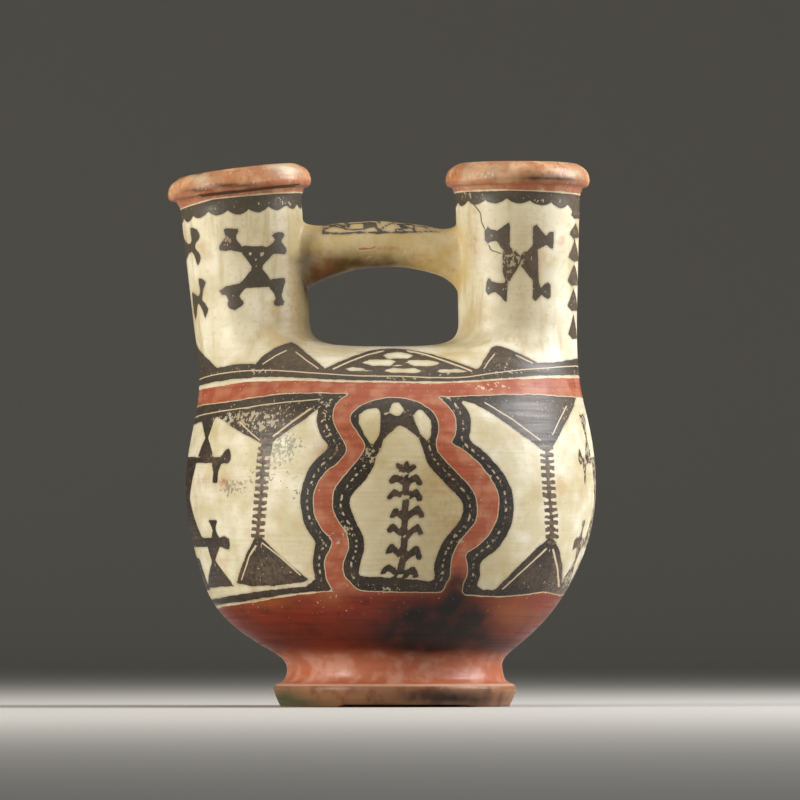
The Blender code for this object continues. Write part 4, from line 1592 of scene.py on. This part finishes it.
    def flanks(self) -> None:
        """The figure on each flank, mirrored about its middle."""
        brush, (x, y, z) = self.brush, self.points.T
        half_width = np.interp(z, *np.array(self.flank.half_widths).T)
        half_depth = np.interp(z, *np.array(self.flank.half_depths).T)
        angle = np.arctan2((x - self.flank.centre) / half_width, -y / half_depth)
        outside = (self.zones == Zone.BODY.value) & (z < SHOULDER_HEIGHT)
        for middle, narrow in zip(self.flank.middles, self.flank.narrowing):
            turned = np.abs((angle - middle + math.pi) % (2 * math.pi) - math.pi) / narrow
            chart = Chart(self.flank.radius * turned, z, outside & (turned < self.flank.reach))
            brush.draw(chart, self.flank.figures)
            if middle > 0:
                brush.lay_marks(chart, self.flank.right_marks)

    def neck(self, neck: Neck) -> None:
        """One neck: its figures all round, the scalloped black band, the thin line and the red lip, and on
        the leaning neck a painted shadow line under the lip's roll.

        Args:
            neck: The neck.
        """
        brush, (x, y, z) = self.brush, self.points.T
        left = neck.side < 0
        off_axis = x - neck.axis(z)
        rho, round_axis = np.hypot(off_axis, y), np.arctan2(off_axis, -y)
        outside = self.zones == neck.zone.value
        low = (self.zones == Zone.BODY.value) & (z > self.neck_from) & (rho < self.neck_reach)
        where = outside | low
        radius = self.necks.radii[0 if left else 1]
        figures = self.necks.spread if left else self.necks.upright
        for turn in self.necks.spread_turns if left else self.necks.upright_turns:
            turned = (round_axis - math.radians(turn) + math.pi) % (2 * math.pi) - math.pi
            chart = Chart(radius * turned, z, where)
            brush.draw(chart, figures)
        chart = Chart(radius * round_axis, z, where)
        quarter = radius * math.pi / 2
        folded = neck.side * (quarter - np.abs(neck.side * chart.across - quarter))
        brush.draw(Chart(folded, z, where), self.necks.edge if left else self.necks.column)
        if not left:
            brush.scratch(chart, "cracks_and_groove_shade", self.necks.cracks)
        line = np.interp(x, *np.array(self.leaning_line if left else self.upright_line).T)
        scallop = np.interp(x, *np.array(self.leaning_scallop if left else self.upright_scallop).T)
        pitch, shift = self.leaning_pitch if left else self.upright_pitch
        scallop = scallop - self.scallop_depth * np.abs(np.sin(np.pi * (chart.across - shift) / pitch)) ** 0.8
        level = z + off_axis * np.sin(neck.turn(z))
        tube = Chart(chart.across, z, outside & (z > self.bands_from))
        brush.band(tube, B, line - 0.3, scallop)
        brush.band_line(tube, line, 0.75)
        brush.band(tube, R, np.full_like(z, 400.0), line + 0.3)
        # Painted shade: a dark line in the groove under the lip's roll, drawn with the cracks.
        if left:
            under = Chart(chart.across, level - (neck.top - self.groove_drop), tube.where)
            brush.scratch(under, "cracks_and_groove_shade", ((1.3, self.groove),))
        inside, lip, bar = self.place.T
        inside[outside] = np.maximum(inside, smooth_step(*self.throat, rho))[outside]
        roll = smooth_step(*self.roll, level - neck.top)
        lip[outside] = np.maximum(roll, self.red_share * smooth_step(*self.red_rise, z))[outside]
        facing = outside & (neck.side * off_axis < 0)
        root = np.hypot(y / 0.9, z - neck.handle_height)
        bar[facing] = 0.9 * smooth_step(*self.bar_root, root)[facing]
        brush.lay_marks(chart, self.neck_marks.leaning if left else self.neck_marks.upright)

    def handle(self) -> None:
        """The bar: a worn lattice along its top and a short red streak on its front."""
        brush, (x, y, z) = self.brush, self.points.T
        bar = self.jar.handle
        share = (x - bar.start[0]) / (bar.end[0] - bar.start[0])
        across = bar.thickness / 2 * np.arctan2(y, z - bar.level() - bar.arch(share))
        chart = Chart(x, across, self.zones == Zone.HANDLE.value)
        brush.draw(chart, tuple(Figure(B, corners, self.bar.stroke_width) for corners in self.bar.strokes))
        brush.draw(chart, self.bar.blots)
        brush.scratch(chart, "hairline", self.bar.scratches)
        # Marks of long use, and painted shade under the bar's root.
        brush.lay_marks(chart, self.bar.marks)
        self.place[chart.where, 2] = 1.0


class Recipe:
    """A material's node tree and the quantities that all its steps use.

    A noise of scale s has marks about 1000 / s mm across: 6 for the hand's wobble, 10 for clouds in the
    slip, 2.6 for scuffs and 0.9 for the clay's grit, which is 0.3 in truth and too fine to show.
    """

    def __init__(self, tree: bpy.types.NodeTree) -> None:
        """Adds the attributes that the decoration laid, the noises and the wobble of a painted edge.

        Args:
            tree: The node tree to fill.
        """
        self.tree = tree
        self.place = self.add(PLACE, out="Object")
        self.height = self.add(MATH, self.add(SPLIT, self.place, out="Z"), 1000.0, **TIMES)
        self.layer = {}
        for name in LAYERS:
            split = self.add(LAYER, out="Vector", attribute_name=name)
            self.layer[name] = [self.add(SPLIT, split, out=axis) for axis in "XYZ"]
        self.hand = self.add(NOISE, self.place, 170.0, 3.0)
        self.grain = self.add(NOISE, self.place, 1150.0, 2.0)
        self.cloud = self.add(NOISE, self.place, 95.0, 4.0)
        self.scuff = self.add(NOISE, self.place, 380.0, 6.0)
        tremble = self.add(MATH, self.grain, 0.45, -0.875, **TIMES_PLUS)
        self.wobble = self.add(MATH, self.hand, 1.3, tremble, **TIMES_PLUS)

    def add(self, kind: str, *values: object, out: str | None = None, **settings: object) -> Socket:
        """Adds a node with its settings and links.

        Args:
            kind: Blender's name of the node.
            values: What its inputs in use get, in their order: a socket, a number, a vector or a colour.
            out: The output's name; the first one in use if left out.
            settings: Properties of the node.

        Returns:
            The node's output.
        """
        node = self.tree.nodes.new(kind)
        for name, value in settings.items():
            setattr(node, name, value)
        for socket, value in zip([s for s in node.inputs if s.enabled], values):
            if isinstance(value, Socket):
                self.tree.links.new(value, socket)
            else:
                socket.default_value = linear(value) if isinstance(value, str) else value
        return node.outputs[out] if out else next(s for s in node.outputs if s.enabled)


@dataclass(frozen=True)
class PaintedClay:
    """Low-fired earthenware, coated in cream slip, painted in earth colours and burnished with a pebble.

    The slip is warm and slightly glossy with faint level strokes of the pebble; black and red are thin
    and worn to specks; under the lips and inside, the bare clay is dull and orange-brown. Some light and
    shade
    is painted in as well: a paler cream and greyer black up the necks, a pale line on the foot's ridge,
    shade in hollows, under the lips' rolls, beside and under the bar and low in the bowl's middle, and paler
    flecks as sheen on the black.
    """

    cream: str = "#C8BD99"
    cream_pale: str = "#DCD5BE"
    # Painted highlight: paler cream up the necks.
    neck_painted_highlight: str = "#E6DEC4"
    # Brownish cream for staining, and painted shade where the tan marks stand for it.
    cream_stain_and_shade: str = "#AF9B6B"
    pink_stain: str = "#C29A70"
    rust: str = "#9A5F33"
    grey: str = "#85836A"
    black: str = "#26211C"
    brown_black: str = "#3E3026"
    mottle: str = "#705C48"
    # Painted sheen: greyer black towards the necks.
    neck_ink_sheen: str = "#625A4C"
    dash: str = "#CFC4A6"
    thin_line: str = "#D0B590"
    red: str = "#9D5137"
    red_pale: str = "#BE8A69"
    red_deep: str = "#7A3521"
    low: str = "#7E2A12"
    low_deep: str = "#4A1407"
    waist: str = "#AC6243"
    waist_pale: str = "#D0A28C"
    foot: str = "#96694A"
    foot_deep: str = "#5A2E1C"
    foot_olive: str = "#4E4C30"
    # Painted highlight: a pale line along the foot's ridge.
    ridge: str = "#CFA184"
    lip: str = "#B07850"
    lip_pale: str = "#DAAE84"
    lip_deep: str = "#74391F"
    # Sooty black: smoke-blackening, and painted shade where those marks stand for it.
    soot: str = "#130A07"
    handle: str = "#BEA368"
    # The bar's underside: brown staining, and painted shade.
    handle_underside_stain_and_shade: str = "#553A12"
    bare: str = "#A87A4E"

    def build(self) -> bpy.types.Material:
        """The material, from the attributes that the decoration laid on the skin.

        Returns:
            The material.
        """
        # Burnished clay isn't glazed, so it mirrors less than the usual 0.5.
        material, bsdf = new_material("painted_clay", Specular_IOR_Level=0.32)
        recipe = Recipe(material.node_tree)
        add, shares = recipe.add, self.shares(recipe)
        colour = self.slip_colour(recipe, shares)
        colour = add(MIX, shares["black"], colour, self.ink_colour(recipe, shares), **COLOURS)
        colour = add(MIX, shares["red"], colour, self.earth_colour(recipe), **COLOURS)
        # Dark lines: the upright neck's cracks, and a painted shadow line under the leaning lip's roll.
        colour = add(MIX, add(MATH, shares["cracks_and_groove_shade"], 0.85, **TIMES), colour, self.brown_black, **COLOURS)
        patchy = add(RANGE, recipe.cloud, 0.35, 0.7, **SMOOTH)
        inner = add(MIX, patchy, self.bare, self.cream_stain_and_shade, **COLOURS)
        colour = add(MIX, recipe.layer["place"][0], colour, inner, **COLOURS)
        recipe.tree.links.new(colour, bsdf.inputs["Base Color"])
        self.surface(recipe, shares, bsdf)
        return material

    def shares(self, recipe: Recipe) -> Sockets:
        """How much of each paint shows at a point, from 0 to 1.

        Edges tremble by the hand's wobble; worn spots take the paint off in specks and scuffs, and some of
        them paint sheen on the black as paler flecks.

        Args:
            recipe: The material's nodes.

        Returns:
            The shares by name, and the distance to black's edge.
        """
        add, layer, wobble = recipe.add, recipe.layer, recipe.wobble
        black_edge = add(MATH, layer["paint"][0], wobble, **PLUS)
        red_edge = add(MATH, layer["paint"][1], wobble, **PLUS)
        lines = {}
        for name in LINES:
            side, gap, half = layer[name]
            side = add(MATH, add(MATH, wobble, 0.3, side, **TIMES_PLUS), **SIZE)
            on = add(RANGE, add(MATH, side, half, **MINUS), -0.12, 0.12, 1.0, 0.0, **SMOOTH)
            lines[name] = add(MATH, on, add(RANGE, gap, 0.1, 0.5, 1.0, 0.0, **SMOOTH), **TIMES)
        rim = add(RANGE, add(MATH, add(MATH, red_edge, 0.2, **MINUS), **SIZE), 0.1, 0.42, 0.9, 0.0, **SMOOTH)
        thin = add(MATH, add(MATH, lines["hairline"], lines["band_line"], **MOST), rim, **MOST)

        # A tooth every 3.45 mm of height.
        step = add(MATH, add(MATH, recipe.height, 1 / 3.45, recipe.hand, **TIMES_PLUS), **PART)
        tooth = add(MATH, add(MATH, step, 0.5, **MINUS), **SIZE)
        tooth = add(RANGE, tooth, 0.25, 0.34, 2.5, 0.0, **SMOOTH)
        comb = add(MATH, add(MATH, layer["paint"][2], wobble, **PLUS), tooth, **MINUS)
        teeth = add(RANGE, comb, 0.75, 1.15, 1.0, 0.0, **SMOOTH)
        black = add(MATH, add(RANGE, black_edge, -0.16, 0.16, 1.0, 0.0, **SMOOTH), teeth, **MOST)
        red = add(RANGE, red_edge, -0.16, 0.16, 1.0, 0.0, **SMOOTH)

        # Worn spots, some of them painted sheen: they pale the black with flecks.
        wear = layer["age"][0]
        # Specks of lost paint about 1 mm wide, scuffs of 3 mm.
        speck = add(NOISE, add(MAPPING, recipe.place, *UNMOVED, (1, 1, 0.6)), 800.0, 1.0)
        level = add(MATH, wear, -0.15, add(RANGE, black_edge, -0.9, -2.2, 0.78, 0.71), **TIMES_PLUS)
        fleck = add(RANGE, add(MATH, speck, level, **MINUS), 0.0, 0.05, **SMOOTH)
        level = add(MATH, wear, -0.26, 0.76, **TIMES_PLUS)
        scuffed = add(RANGE, add(MATH, recipe.scuff, level, **MINUS), 0.0, 0.06, **SMOOTH)
        worn = add(MATH, fleck, scuffed, **MOST)
        level = add(MATH, wear, -0.2, 0.76, **TIMES_PLUS)
        finer = add(MATH, speck, add(RANGE, recipe.height, 34.0, 50.0, 0.85, 0.71), **MINUS)
        chips = add(MATH, add(MATH, recipe.scuff, level, **MINUS), finer, **MOST)
        red_worn = add(RANGE, chips, 0.0, 0.05, 0.0, 0.85, **SMOOTH)

        # A dash every 3.6 mm along the rims.
        side, along, rims = layer["dash"]
        drift = add(MATH, recipe.hand, 1.6, **TIMES)
        step = add(MATH, add(MATH, along, 1 / 3.6, drift, **TIMES_PLUS), **PART)
        dash = add(RANGE, add(MATH, add(MATH, step, 0.5, **MINUS), **SIZE), 0.16, 0.30, 1.0, 0.0, **SMOOTH)
        across = add(MATH, add(MATH, wobble, 1.2, side, **TIMES_PLUS), **SIZE)
        dash = add(MATH, dash, add(RANGE, across, 0.3, 0.62, rims, 0.0, **SMOOTH), **TIMES)
        dash = add(MATH, dash, add(RANGE, recipe.scuff, 0.40, 0.52, 0.1, 0.95, **SMOOTH), **TIMES)

        lost = add(MATH, add(MATH, thin, add(MATH, worn, 0.85, **TIMES), **MOST), dash, **MOST)
        black = add(MATH, black, add(MATH, 1.0, lost, **MINUS), **TIMES)
        red = add(MATH, red, add(MATH, 1.0, red_worn, **MINUS), **TIMES)
        return {
            "black": black, "red": red, "thin": thin, "teeth": teeth, "worn": worn, "edge": black_edge,
            "cracks_and_groove_shade": lines["cracks_and_groove_shade"],
        }

    def slip_colour(self, recipe: Recipe, shares: Sockets) -> Socket:
        """Cream slip, clouded, streaked up the necks and level on the belly, blotched and specked, with
        painted shade in hollows and beside the bar and a painted highlight up the necks.

        Args:
            recipe: The material's nodes.
            shares: How much of each paint shows.

        Returns:
            The colour.
        """
        add, place, cloud, height = recipe.add, recipe.place, recipe.cloud, recipe.height
        rust, grey, soot = recipe.layer["stains_and_shade"]
        tan_and_shade_share, bar = recipe.layer["age"][1], recipe.layer["place"][2]
        broad = add(RANGE, add(NOISE, place, 30.0, 4.0), 0.48, 0.72, 0.0, 0.7, **SMOOTH)
        tall = add(NOISE, add(MAPPING, place, *UNMOVED, (1, 1, 0.14)), 170.0, 3.0)
        tall = add(RANGE, tall, 0.5, 0.72, 0.0, add(RANGE, height, 176.0, 186.0, 0.0, 0.55), **SMOOTH)
        level = add(NOISE, add(MAPPING, place, *UNMOVED, (1, 1, 22)), 30.0, 4.0)
        below = add(RANGE, height, 176.0, 186.0, 0.2, 0.0, **SMOOTH)
        even = add(RANGE, cloud, 0.3, 0.7, 0.55, 1.0, **SMOOTH)
        fade = add(MATH, even, add(RANGE, level, 0.35, 0.62, 0.82, 1.0, **SMOOTH), **TIMES)
        # Darker towards the bar's underside and its leaning end: partly brown staining, partly painted shade.
        under = add(RANGE, height, 236.0, 226.0, **SMOOTH)
        under = add(MATH, under, add(RANGE, add(SPLIT, place, out="X"), 0.018, -0.006, **SMOOTH), **TIMES)
        blotch = add(RANGE, recipe.scuff, 0.35, 0.65, 0.3, 0.95, **SMOOTH)
        dots = add(MATH, add(NOISE, place, 560.0, 4.0), add(MATH, grey, -0.34, 0.78, **TIMES_PLUS), **MINUS)
        dirt = add(MATH, add(NOISE, place, 900.0, 2.0), 0.74, **MINUS)
        slip = add(MIX, add(RANGE, cloud, 0.35, 0.7, **SMOOTH), self.cream, self.cream_pale, **COLOURS)
        for share, colour in (
            # Painted highlight: paler cream from the necks' feet up.
            (add(RANGE, height, 174.0, 188.0, 0.0, 0.5), self.neck_painted_highlight),
            (broad, self.cream_stain_and_shade),
            (tall, self.cream_stain_and_shade),
            (add(RANGE, level, 0.5, 0.72, 0.0, below, **SMOOTH), self.cream_stain_and_shade),
            (add(RANGE, add(NOISE, place, 60.0, 5.0), 0.58, 0.74, 0.0, 0.4, **SMOOTH), self.pink_stain),
            (add(RANGE, recipe.scuff, 0.53, 0.7, 0.0, 0.3, **SMOOTH), self.cream_stain_and_shade),
            # Tan marks: brown staining, and painted shade beside the bar.
            (add(MATH, tan_and_shade_share, fade, **TIMES), self.cream_stain_and_shade),
            # The bar's colour, darker underneath: partly brown staining, partly painted shade.
            (add(MATH, bar, even, **TIMES), add(MIX, under, self.handle, self.handle_underside_stain_and_shade, **COLOURS)),
            (add(MATH, rust, blotch, **TIMES), self.rust),
            # Sooty marks: smoke-blackening, and painted shade in hollows and under the bar.
            (add(MATH, soot, 0.85, **TIMES), self.soot),
            (add(RANGE, dots, 0.0, 0.08, 0.0, 0.9, **SMOOTH), self.grey),
            (add(RANGE, dirt, 0.0, 0.05, 0.0, 0.5, **SMOOTH), self.mottle),
            (add(RANGE, shares["edge"], 0.0, 1.4, 0.3, 0.0, **SMOOTH), self.mottle),
            (add(MATH, shares["thin"], 0.6, **TIMES), self.thin_line),
        ):
            slip = add(MIX, share, slip, colour, **COLOURS)
        return slip

    def ink_colour(self, recipe: Recipe, shares: Sockets) -> Socket:
        """Thin black slip, browner where it was laid thin, with fine brown speckle, and greyer higher up as
        painted sheen.

        Args:
            recipe: The material's nodes.
            shares: How much of each paint shows.

        Returns:
            The colour.
        """
        add = recipe.add
        brown = add(RANGE, recipe.cloud, 0.42, 0.7, 0.0, 0.8, **SMOOTH)
        ink = add(MIX, brown, self.black, self.brown_black, **COLOURS)
        # Painted sheen: the black greyer from the belly up to the necks.
        ink = add(MIX, add(RANGE, recipe.height, 120.0, 200.0, 0.0, 0.5), ink, self.neck_ink_sheen, **COLOURS)
        grit = add(RANGE, recipe.grain, 0.54, 0.74, 0.0, 0.55, **SMOOTH)
        ink = add(MIX, grit, ink, self.mottle, **COLOURS)
        thin = add(MATH, shares["teeth"], 0.8, recipe.layer["age"][2], **TIMES_PLUS)
        thin = add(MATH, thin, add(RANGE, recipe.scuff, 0.35, 0.62, 0.25, 1.0, **SMOOTH), **TIMES)
        return add(MIX, thin, ink, self.mottle, **COLOURS)

    def earth_colour(self, recipe: Recipe) -> Socket:
        """Iron red, paler in the upper bands, deep on the bowl, pink at the waist, buff on the foot, with a
        painted highlight along the foot's ridge and painted shade among the sooty marks.

        Args:
            recipe: The material's nodes.

        Returns:
            The colour.
        """
        add, place, height, cloud = recipe.add, recipe.place, recipe.height, recipe.cloud
        rust, grey, soot = recipe.layer["stains_and_shade"]
        wear, lip = recipe.layer["age"][0], recipe.layer["place"][1]
        smudge = add(RANGE, add(NOISE, place, 110.0, 6.0), 0.42, 0.68, **SMOOTH)
        level = add(NOISE, add(MAPPING, place, *UNMOVED, (1, 1, 20)), 26.0, 4.0)
        level = add(RANGE, level, 0.45, 0.68, **SMOOTH)
        upper = add(MIX, add(MATH, smudge, 0.5, **TIMES), self.red, self.red_pale, **COLOURS)
        upper = add(MIX, add(MATH, level, 0.35, **TIMES), upper, self.red_deep, **COLOURS)
        waist = add(MIX, add(MATH, smudge, 0.5, **TIMES), self.waist, self.waist_pale, **COLOURS)
        smoky = add(RANGE, cloud, 0.46, 0.7, 0.0, 0.7, **SMOOTH)
        foot = add(MIX, smoky, self.foot, self.foot_deep, **COLOURS)
        foot = add(MIX, grey, foot, self.foot_olive, **COLOURS)
        scuffed = add(RANGE, recipe.scuff, 0.52, 0.68, 0.0, 0.4, **SMOOTH)
        bared = add(MATH, wear, add(RANGE, cloud, 0.28, 0.5, **SMOOTH), **TIMES)
        roll = add(MIX, add(MATH, smudge, 0.7, **TIMES), self.lip, self.lip_pale, **COLOURS)
        roll = add(MIX, scuffed, roll, self.lip_deep, **COLOURS)
        roll = add(MIX, bared, roll, self.dash, **COLOURS)
        edge = add(MATH, add(MATH, recipe.hand, 2.0, height, **TIMES_PLUS), 1.0, **MINUS)
        # Painted highlight: a pale line along the foot's ridge, 11.2 mm up.
        ridge = add(MATH, add(MATH, height, 11.2, **MINUS), **SIZE)
        uneven = add(MATH, level, 0.35, add(MATH, smudge, 0.35, **TIMES), **TIMES_PLUS)
        earth = add(MIX, uneven, self.low, self.low_deep, **COLOURS)
        for share, colour in (
            (add(MATH, rust, 0.7, **TIMES), self.rust),
            (add(RANGE, edge, 54.0, 63.0, **SMOOTH), upper),
            (add(RANGE, edge, 31.0, 25.0, **SMOOTH), waist),
            (add(RANGE, edge, 12.6, 11.0, **SMOOTH), foot),
            (add(RANGE, ridge, 0.3, 0.9, 0.8, 0.0, **SMOOTH), self.ridge),
            (lip, roll),
            # Sooty marks: smoke-blackening, and painted shade low in the bowl's middle and under the lips'
            # rolls.
            (add(MATH, soot, add(RANGE, cloud, 0.25, 0.6, 0.7, 1.0, **SMOOTH), **TIMES), self.soot),
        ):
            earth = add(MIX, share, earth, colour, **COLOURS)
        return earth

    def surface(self, recipe: Recipe, shares: Sockets, bsdf: bpy.types.Node) -> None:
        """Gloss of the pebble's strokes, dull where worn and inside, and the relief of hand and paint.

        Args:
            recipe: The material's nodes.
            shares: How much of each paint shows.
            bsdf: The shader to link.
        """
        add, place = recipe.add, recipe.place
        inside, lip, _ = recipe.layer["place"]
        level = add(NOISE, add(MAPPING, place, *UNMOVED, (1, 1, 34)), 22.0, 3.0)
        gloss = add(RANGE, level, 0.3, 0.7, 0.34, 0.5, **SMOOTH)
        gloss = add(MATH, shares["worn"], 0.15, gloss, **TIMES_PLUS)
        gloss = add(MATH, gloss, add(MATH, inside, 0.85, **TIMES), **MOST)
        recipe.tree.links.new(gloss, bsdf.inputs["Roughness"])
        relief = add(MATH, level, 0.08, add(MATH, recipe.grain, 0.04, **TIMES), **TIMES_PLUS)
        relief = add(MATH, recipe.cloud, 0.3, relief, **TIMES_PLUS)
        relief = add(MATH, add(MATH, shares["black"], shares["red"], **MOST), 0.03, relief, **TIMES_PLUS)
        relief = add(MATH, shares["cracks_and_groove_shade"], -0.3, relief, **TIMES_PLUS)
        rough = add(MATH, add(MATH, inside, lip, **MOST), recipe.scuff, **TIMES)
        relief = add(MATH, rough, 0.35, relief, **TIMES_PLUS)
        bump = add(BUMP, 0.8, 0.001, 1.0, relief)
        recipe.tree.links.new(bump, bsdf.inputs["Normal"])


@dataclass(frozen=True)
class Studio:
    """Pale floor that sweeps up all round, soft lights and the camera at the photograph's angle."""

    frame_height: float = 0.410
    distance: float = 4.5
    camera_height: float = 0.035
    aim: tuple = (0.0026, 0.0, 0.157)
    floor_reach: float = 5.6
    sweep: float = 2.4
    wall_height: float = 4.5
    floor_colour: str = "#BAB7B0"

    def floor(self) -> bpy.types.Object:
        """A disc whose rim sweeps up: the profile runs level to floor_reach, then a quarter of an oval.

        Returns:
            The floor.
        """
        angle = np.linspace(0, 2 * math.pi, 97)[:-1]
        turn = np.linspace(0, math.pi / 2, 24)
        radius = np.concatenate([[0.3, 1.5, 3.5], self.floor_reach + self.sweep * np.sin(turn)])[:, None]
        height = np.concatenate([[0, 0, 0], self.wall_height * (1 - np.cos(turn))])[:, None]
        rings = np.stack([radius * np.cos(angle), radius * np.sin(angle), height + 0 * angle], -1)
        skin = Skin()
        rows = skin.add(rings / MM, Zone.UNDERSIDE)
        skin.loft(rows)
        pole = skin.add(np.zeros((1, 3)), Zone.UNDERSIDE)
        skin.cap(rows[0], int(pole[0]), down=False)
        points, _, groups = skin.packed()
        floor = mesh_object("floor", points, groups)
        # Matt emulsion paint: pale, even and without a mirror image of the jar.
        material, bsdf = new_material("matt_floor_paint", Roughness=0.75)
        bsdf.inputs["Base Color"].default_value = linear(self.floor_colour)
        floor.data.materials.append(material)
        return floor

    def light(self, name: str, place: tuple, size: tuple, power: float, colour: str) -> None:
        """A soft area light at place, aimed at the jar's middle.

        Args:
            name: Its name.
            place: Where it hangs, in metres.
            size: Its width and height.
            power: Its power in watts.
            colour: Its colour.
        """
        lamp = bpy.data.lights.new(name, "AREA")
        lamp.shape, lamp.size, lamp.size_y, lamp.energy = "RECTANGLE", *size, power
        lamp.color = linear(colour)[:3]
        holder = bpy.data.objects.new(name, lamp)
        holder.location = place
        aim = Vector((0, 0, 0.15)) - Vector(place)
        holder.rotation_euler = aim.to_track_quat("-Z", "Y").to_euler()
        bpy.context.scene.collection.objects.link(holder)

    def camera(self) -> None:
        """A long lens far off, so that the jar is seen almost level, as in the photograph."""
        lens = bpy.data.cameras.new("camera")
        lens.sensor_width = 36.0
        lens.lens = lens.sensor_width * self.distance / self.frame_height
        lens.clip_start, lens.clip_end = 0.05, 60.0
        holder = bpy.data.objects.new("camera", lens)
        place = Vector((self.aim[0], -self.distance, self.camera_height))
        holder.location = place
        holder.rotation_euler = (Vector(self.aim) - place).to_track_quat("-Z", "Y").to_euler()
        bpy.context.scene.collection.objects.link(holder)
        bpy.context.scene.camera = holder

    def build(self) -> None:
        """Sets up the camera, the lights, the daylight round them and the floor."""
        self.camera()
        self.light("key", (1.42, -0.02, 0.98), (0.7, 1.2), 48.0, "#FAFBFF")
        self.light("second", (-1.35, -0.76, 0.60), (0.45, 0.9), 25.0, "#FFFBF4")
        self.light("top", (0.0, -0.2, 1.8), (0.9, 0.9), 6.0, "#FFFFFF")
        world = bpy.context.scene.world or bpy.data.worlds.new("daylight")
        bpy.context.scene.world = world
        bpy.context.scene.view_settings.view_transform = "Standard"
        world.use_nodes = True
        background = next(n for n in world.node_tree.nodes if n.type == "BACKGROUND")
        background.inputs["Color"].default_value = linear("#E9E7E2")
        background.inputs["Strength"].default_value = 0.16
        self.floor()


def weathered(points: Array, zones: Array) -> Array:
    """The skin with the hand's unevenness and the long shallow chip under the front of its foot.

    Every point moves in towards its own level's middle by up to 0.56 mm, by slow sine waves of its angle
    and height; the foot's lowest edge rises as a flat-topped bump of x along the front.

    Args:
        points: The skin's points in mm.
        zones: The zone number of each.

    Returns:
        The points where they end up.
    """
    x, y, z = points.T
    angle = np.arctan2(y, x)
    wave = np.sin(3 * angle + z / 23) * np.sin(z / 17 + 1.3)
    wave = wave + 0.6 * np.sin(7 * angle - z / 11) * np.sin(z / 29)
    wave = np.where((zones == Zone.BODY.value) & (z > 24) & (z < 178), 0.28 * (wave / 1.6 - 1), 0.0)
    share = smooth_step(24, 40, z) * (1 - smooth_step(160, 178, z))
    out = np.stack([x, y, 0 * z], -1)
    moved = points + unit(out) * (wave * share)[:, None]
    chip = smooth_step(-29, -25, x) * (1 - smooth_step(36, 46, x)) * smooth_step(34, 48, -y)
    lift = 1.25 * chip * (1 - smooth_step(0.0, 5.0, z)) * (zones != Zone.INSIDE.value)
    moved[:, 2] += lift
    return moved


def mesh_object(name: str, points: Array, groups: list[Array]) -> bpy.types.Object:
    """Makes an object of points in mm and their faces, in metres, smooth and with its faces outward.

    Args:
        name: The object's name.
        points: Points in mm.
        groups: Faces as point numbers, by corner count.

    Returns:
        The object, in the scene.
    """
    mesh = bpy.data.meshes.new(name)
    mesh.from_pydata((points * MM).tolist(), [], [face for faces in groups for face in faces.tolist()])
    bm = bmesh.new()
    bm.from_mesh(mesh)
    bmesh.ops.recalc_face_normals(bm, faces=bm.faces)
    bm.to_mesh(mesh)
    bm.free()
    mesh.shade_smooth()
    holder = bpy.data.objects.new(name, mesh)
    bpy.context.scene.collection.objects.link(holder)
    return holder


def new_material(name: str, **settings: float) -> tuple[bpy.types.Material, bpy.types.Node]:
    """An empty material and its surface shader with the settings given.

    Args:
        name: What the finish is.
        settings: Inputs of the shader, spaces written as _.

    Returns:
        The material and its shader.
    """
    material = bpy.data.materials.new(name)
    material.use_nodes = True
    bsdf = next(n for n in material.node_tree.nodes if n.type == "BSDF_PRINCIPLED")
    for socket, value in settings.items():
        bsdf.inputs[socket.replace("_", " ")].default_value = value
    return material, bsdf


def main() -> None:
    """Builds and dresses the jar, then the studio round it."""
    logging.basicConfig(level=logging.INFO, format="%(name)s: %(message)s")
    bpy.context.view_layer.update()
    shape = Jar()
    points, zones, groups = shape.skin().packed()
    jar = mesh_object("painted_jar", weathered(points, zones), groups)
    brush, place = Decoration(shape, points, zones).paint()
    # Sooty and tan channels also carry painted shade, and the worn channel painted sheen.
    stains_and_shade = np.stack([brush.stains_and_shade[name] for name in ("rust", "grey", "soot")], -1)
    age = np.stack([brush.stains_and_shade[name] for name in ("wear", "tan", "brown")], -1)
    paint = np.stack([brush.fields[B], brush.fields[R], brush.comb], -1)
    layers = {"paint": paint, "place": place, "stains_and_shade": np.clip(stains_and_shade, 0, 1), "age": np.clip(age, 0, 1)}
    layers |= {"dash": brush.dashes, **brush.lines}
    for name, values in layers.items():
        layer = jar.data.attributes.new(name, "FLOAT_VECTOR", "POINT")
        layer.data.foreach_set("vector", values.astype(np.float32).ravel())
    jar.data.materials.append(PaintedClay().build())
    triangles = sum(len(faces) * (faces.shape[1] - 2) for faces in groups)
    log.info("painted_jar: %d points, %d triangles", len(points), triangles)
    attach(jar, "root")
    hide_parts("jar")
    Studio().build()


if __name__ == "__main__":
    main()
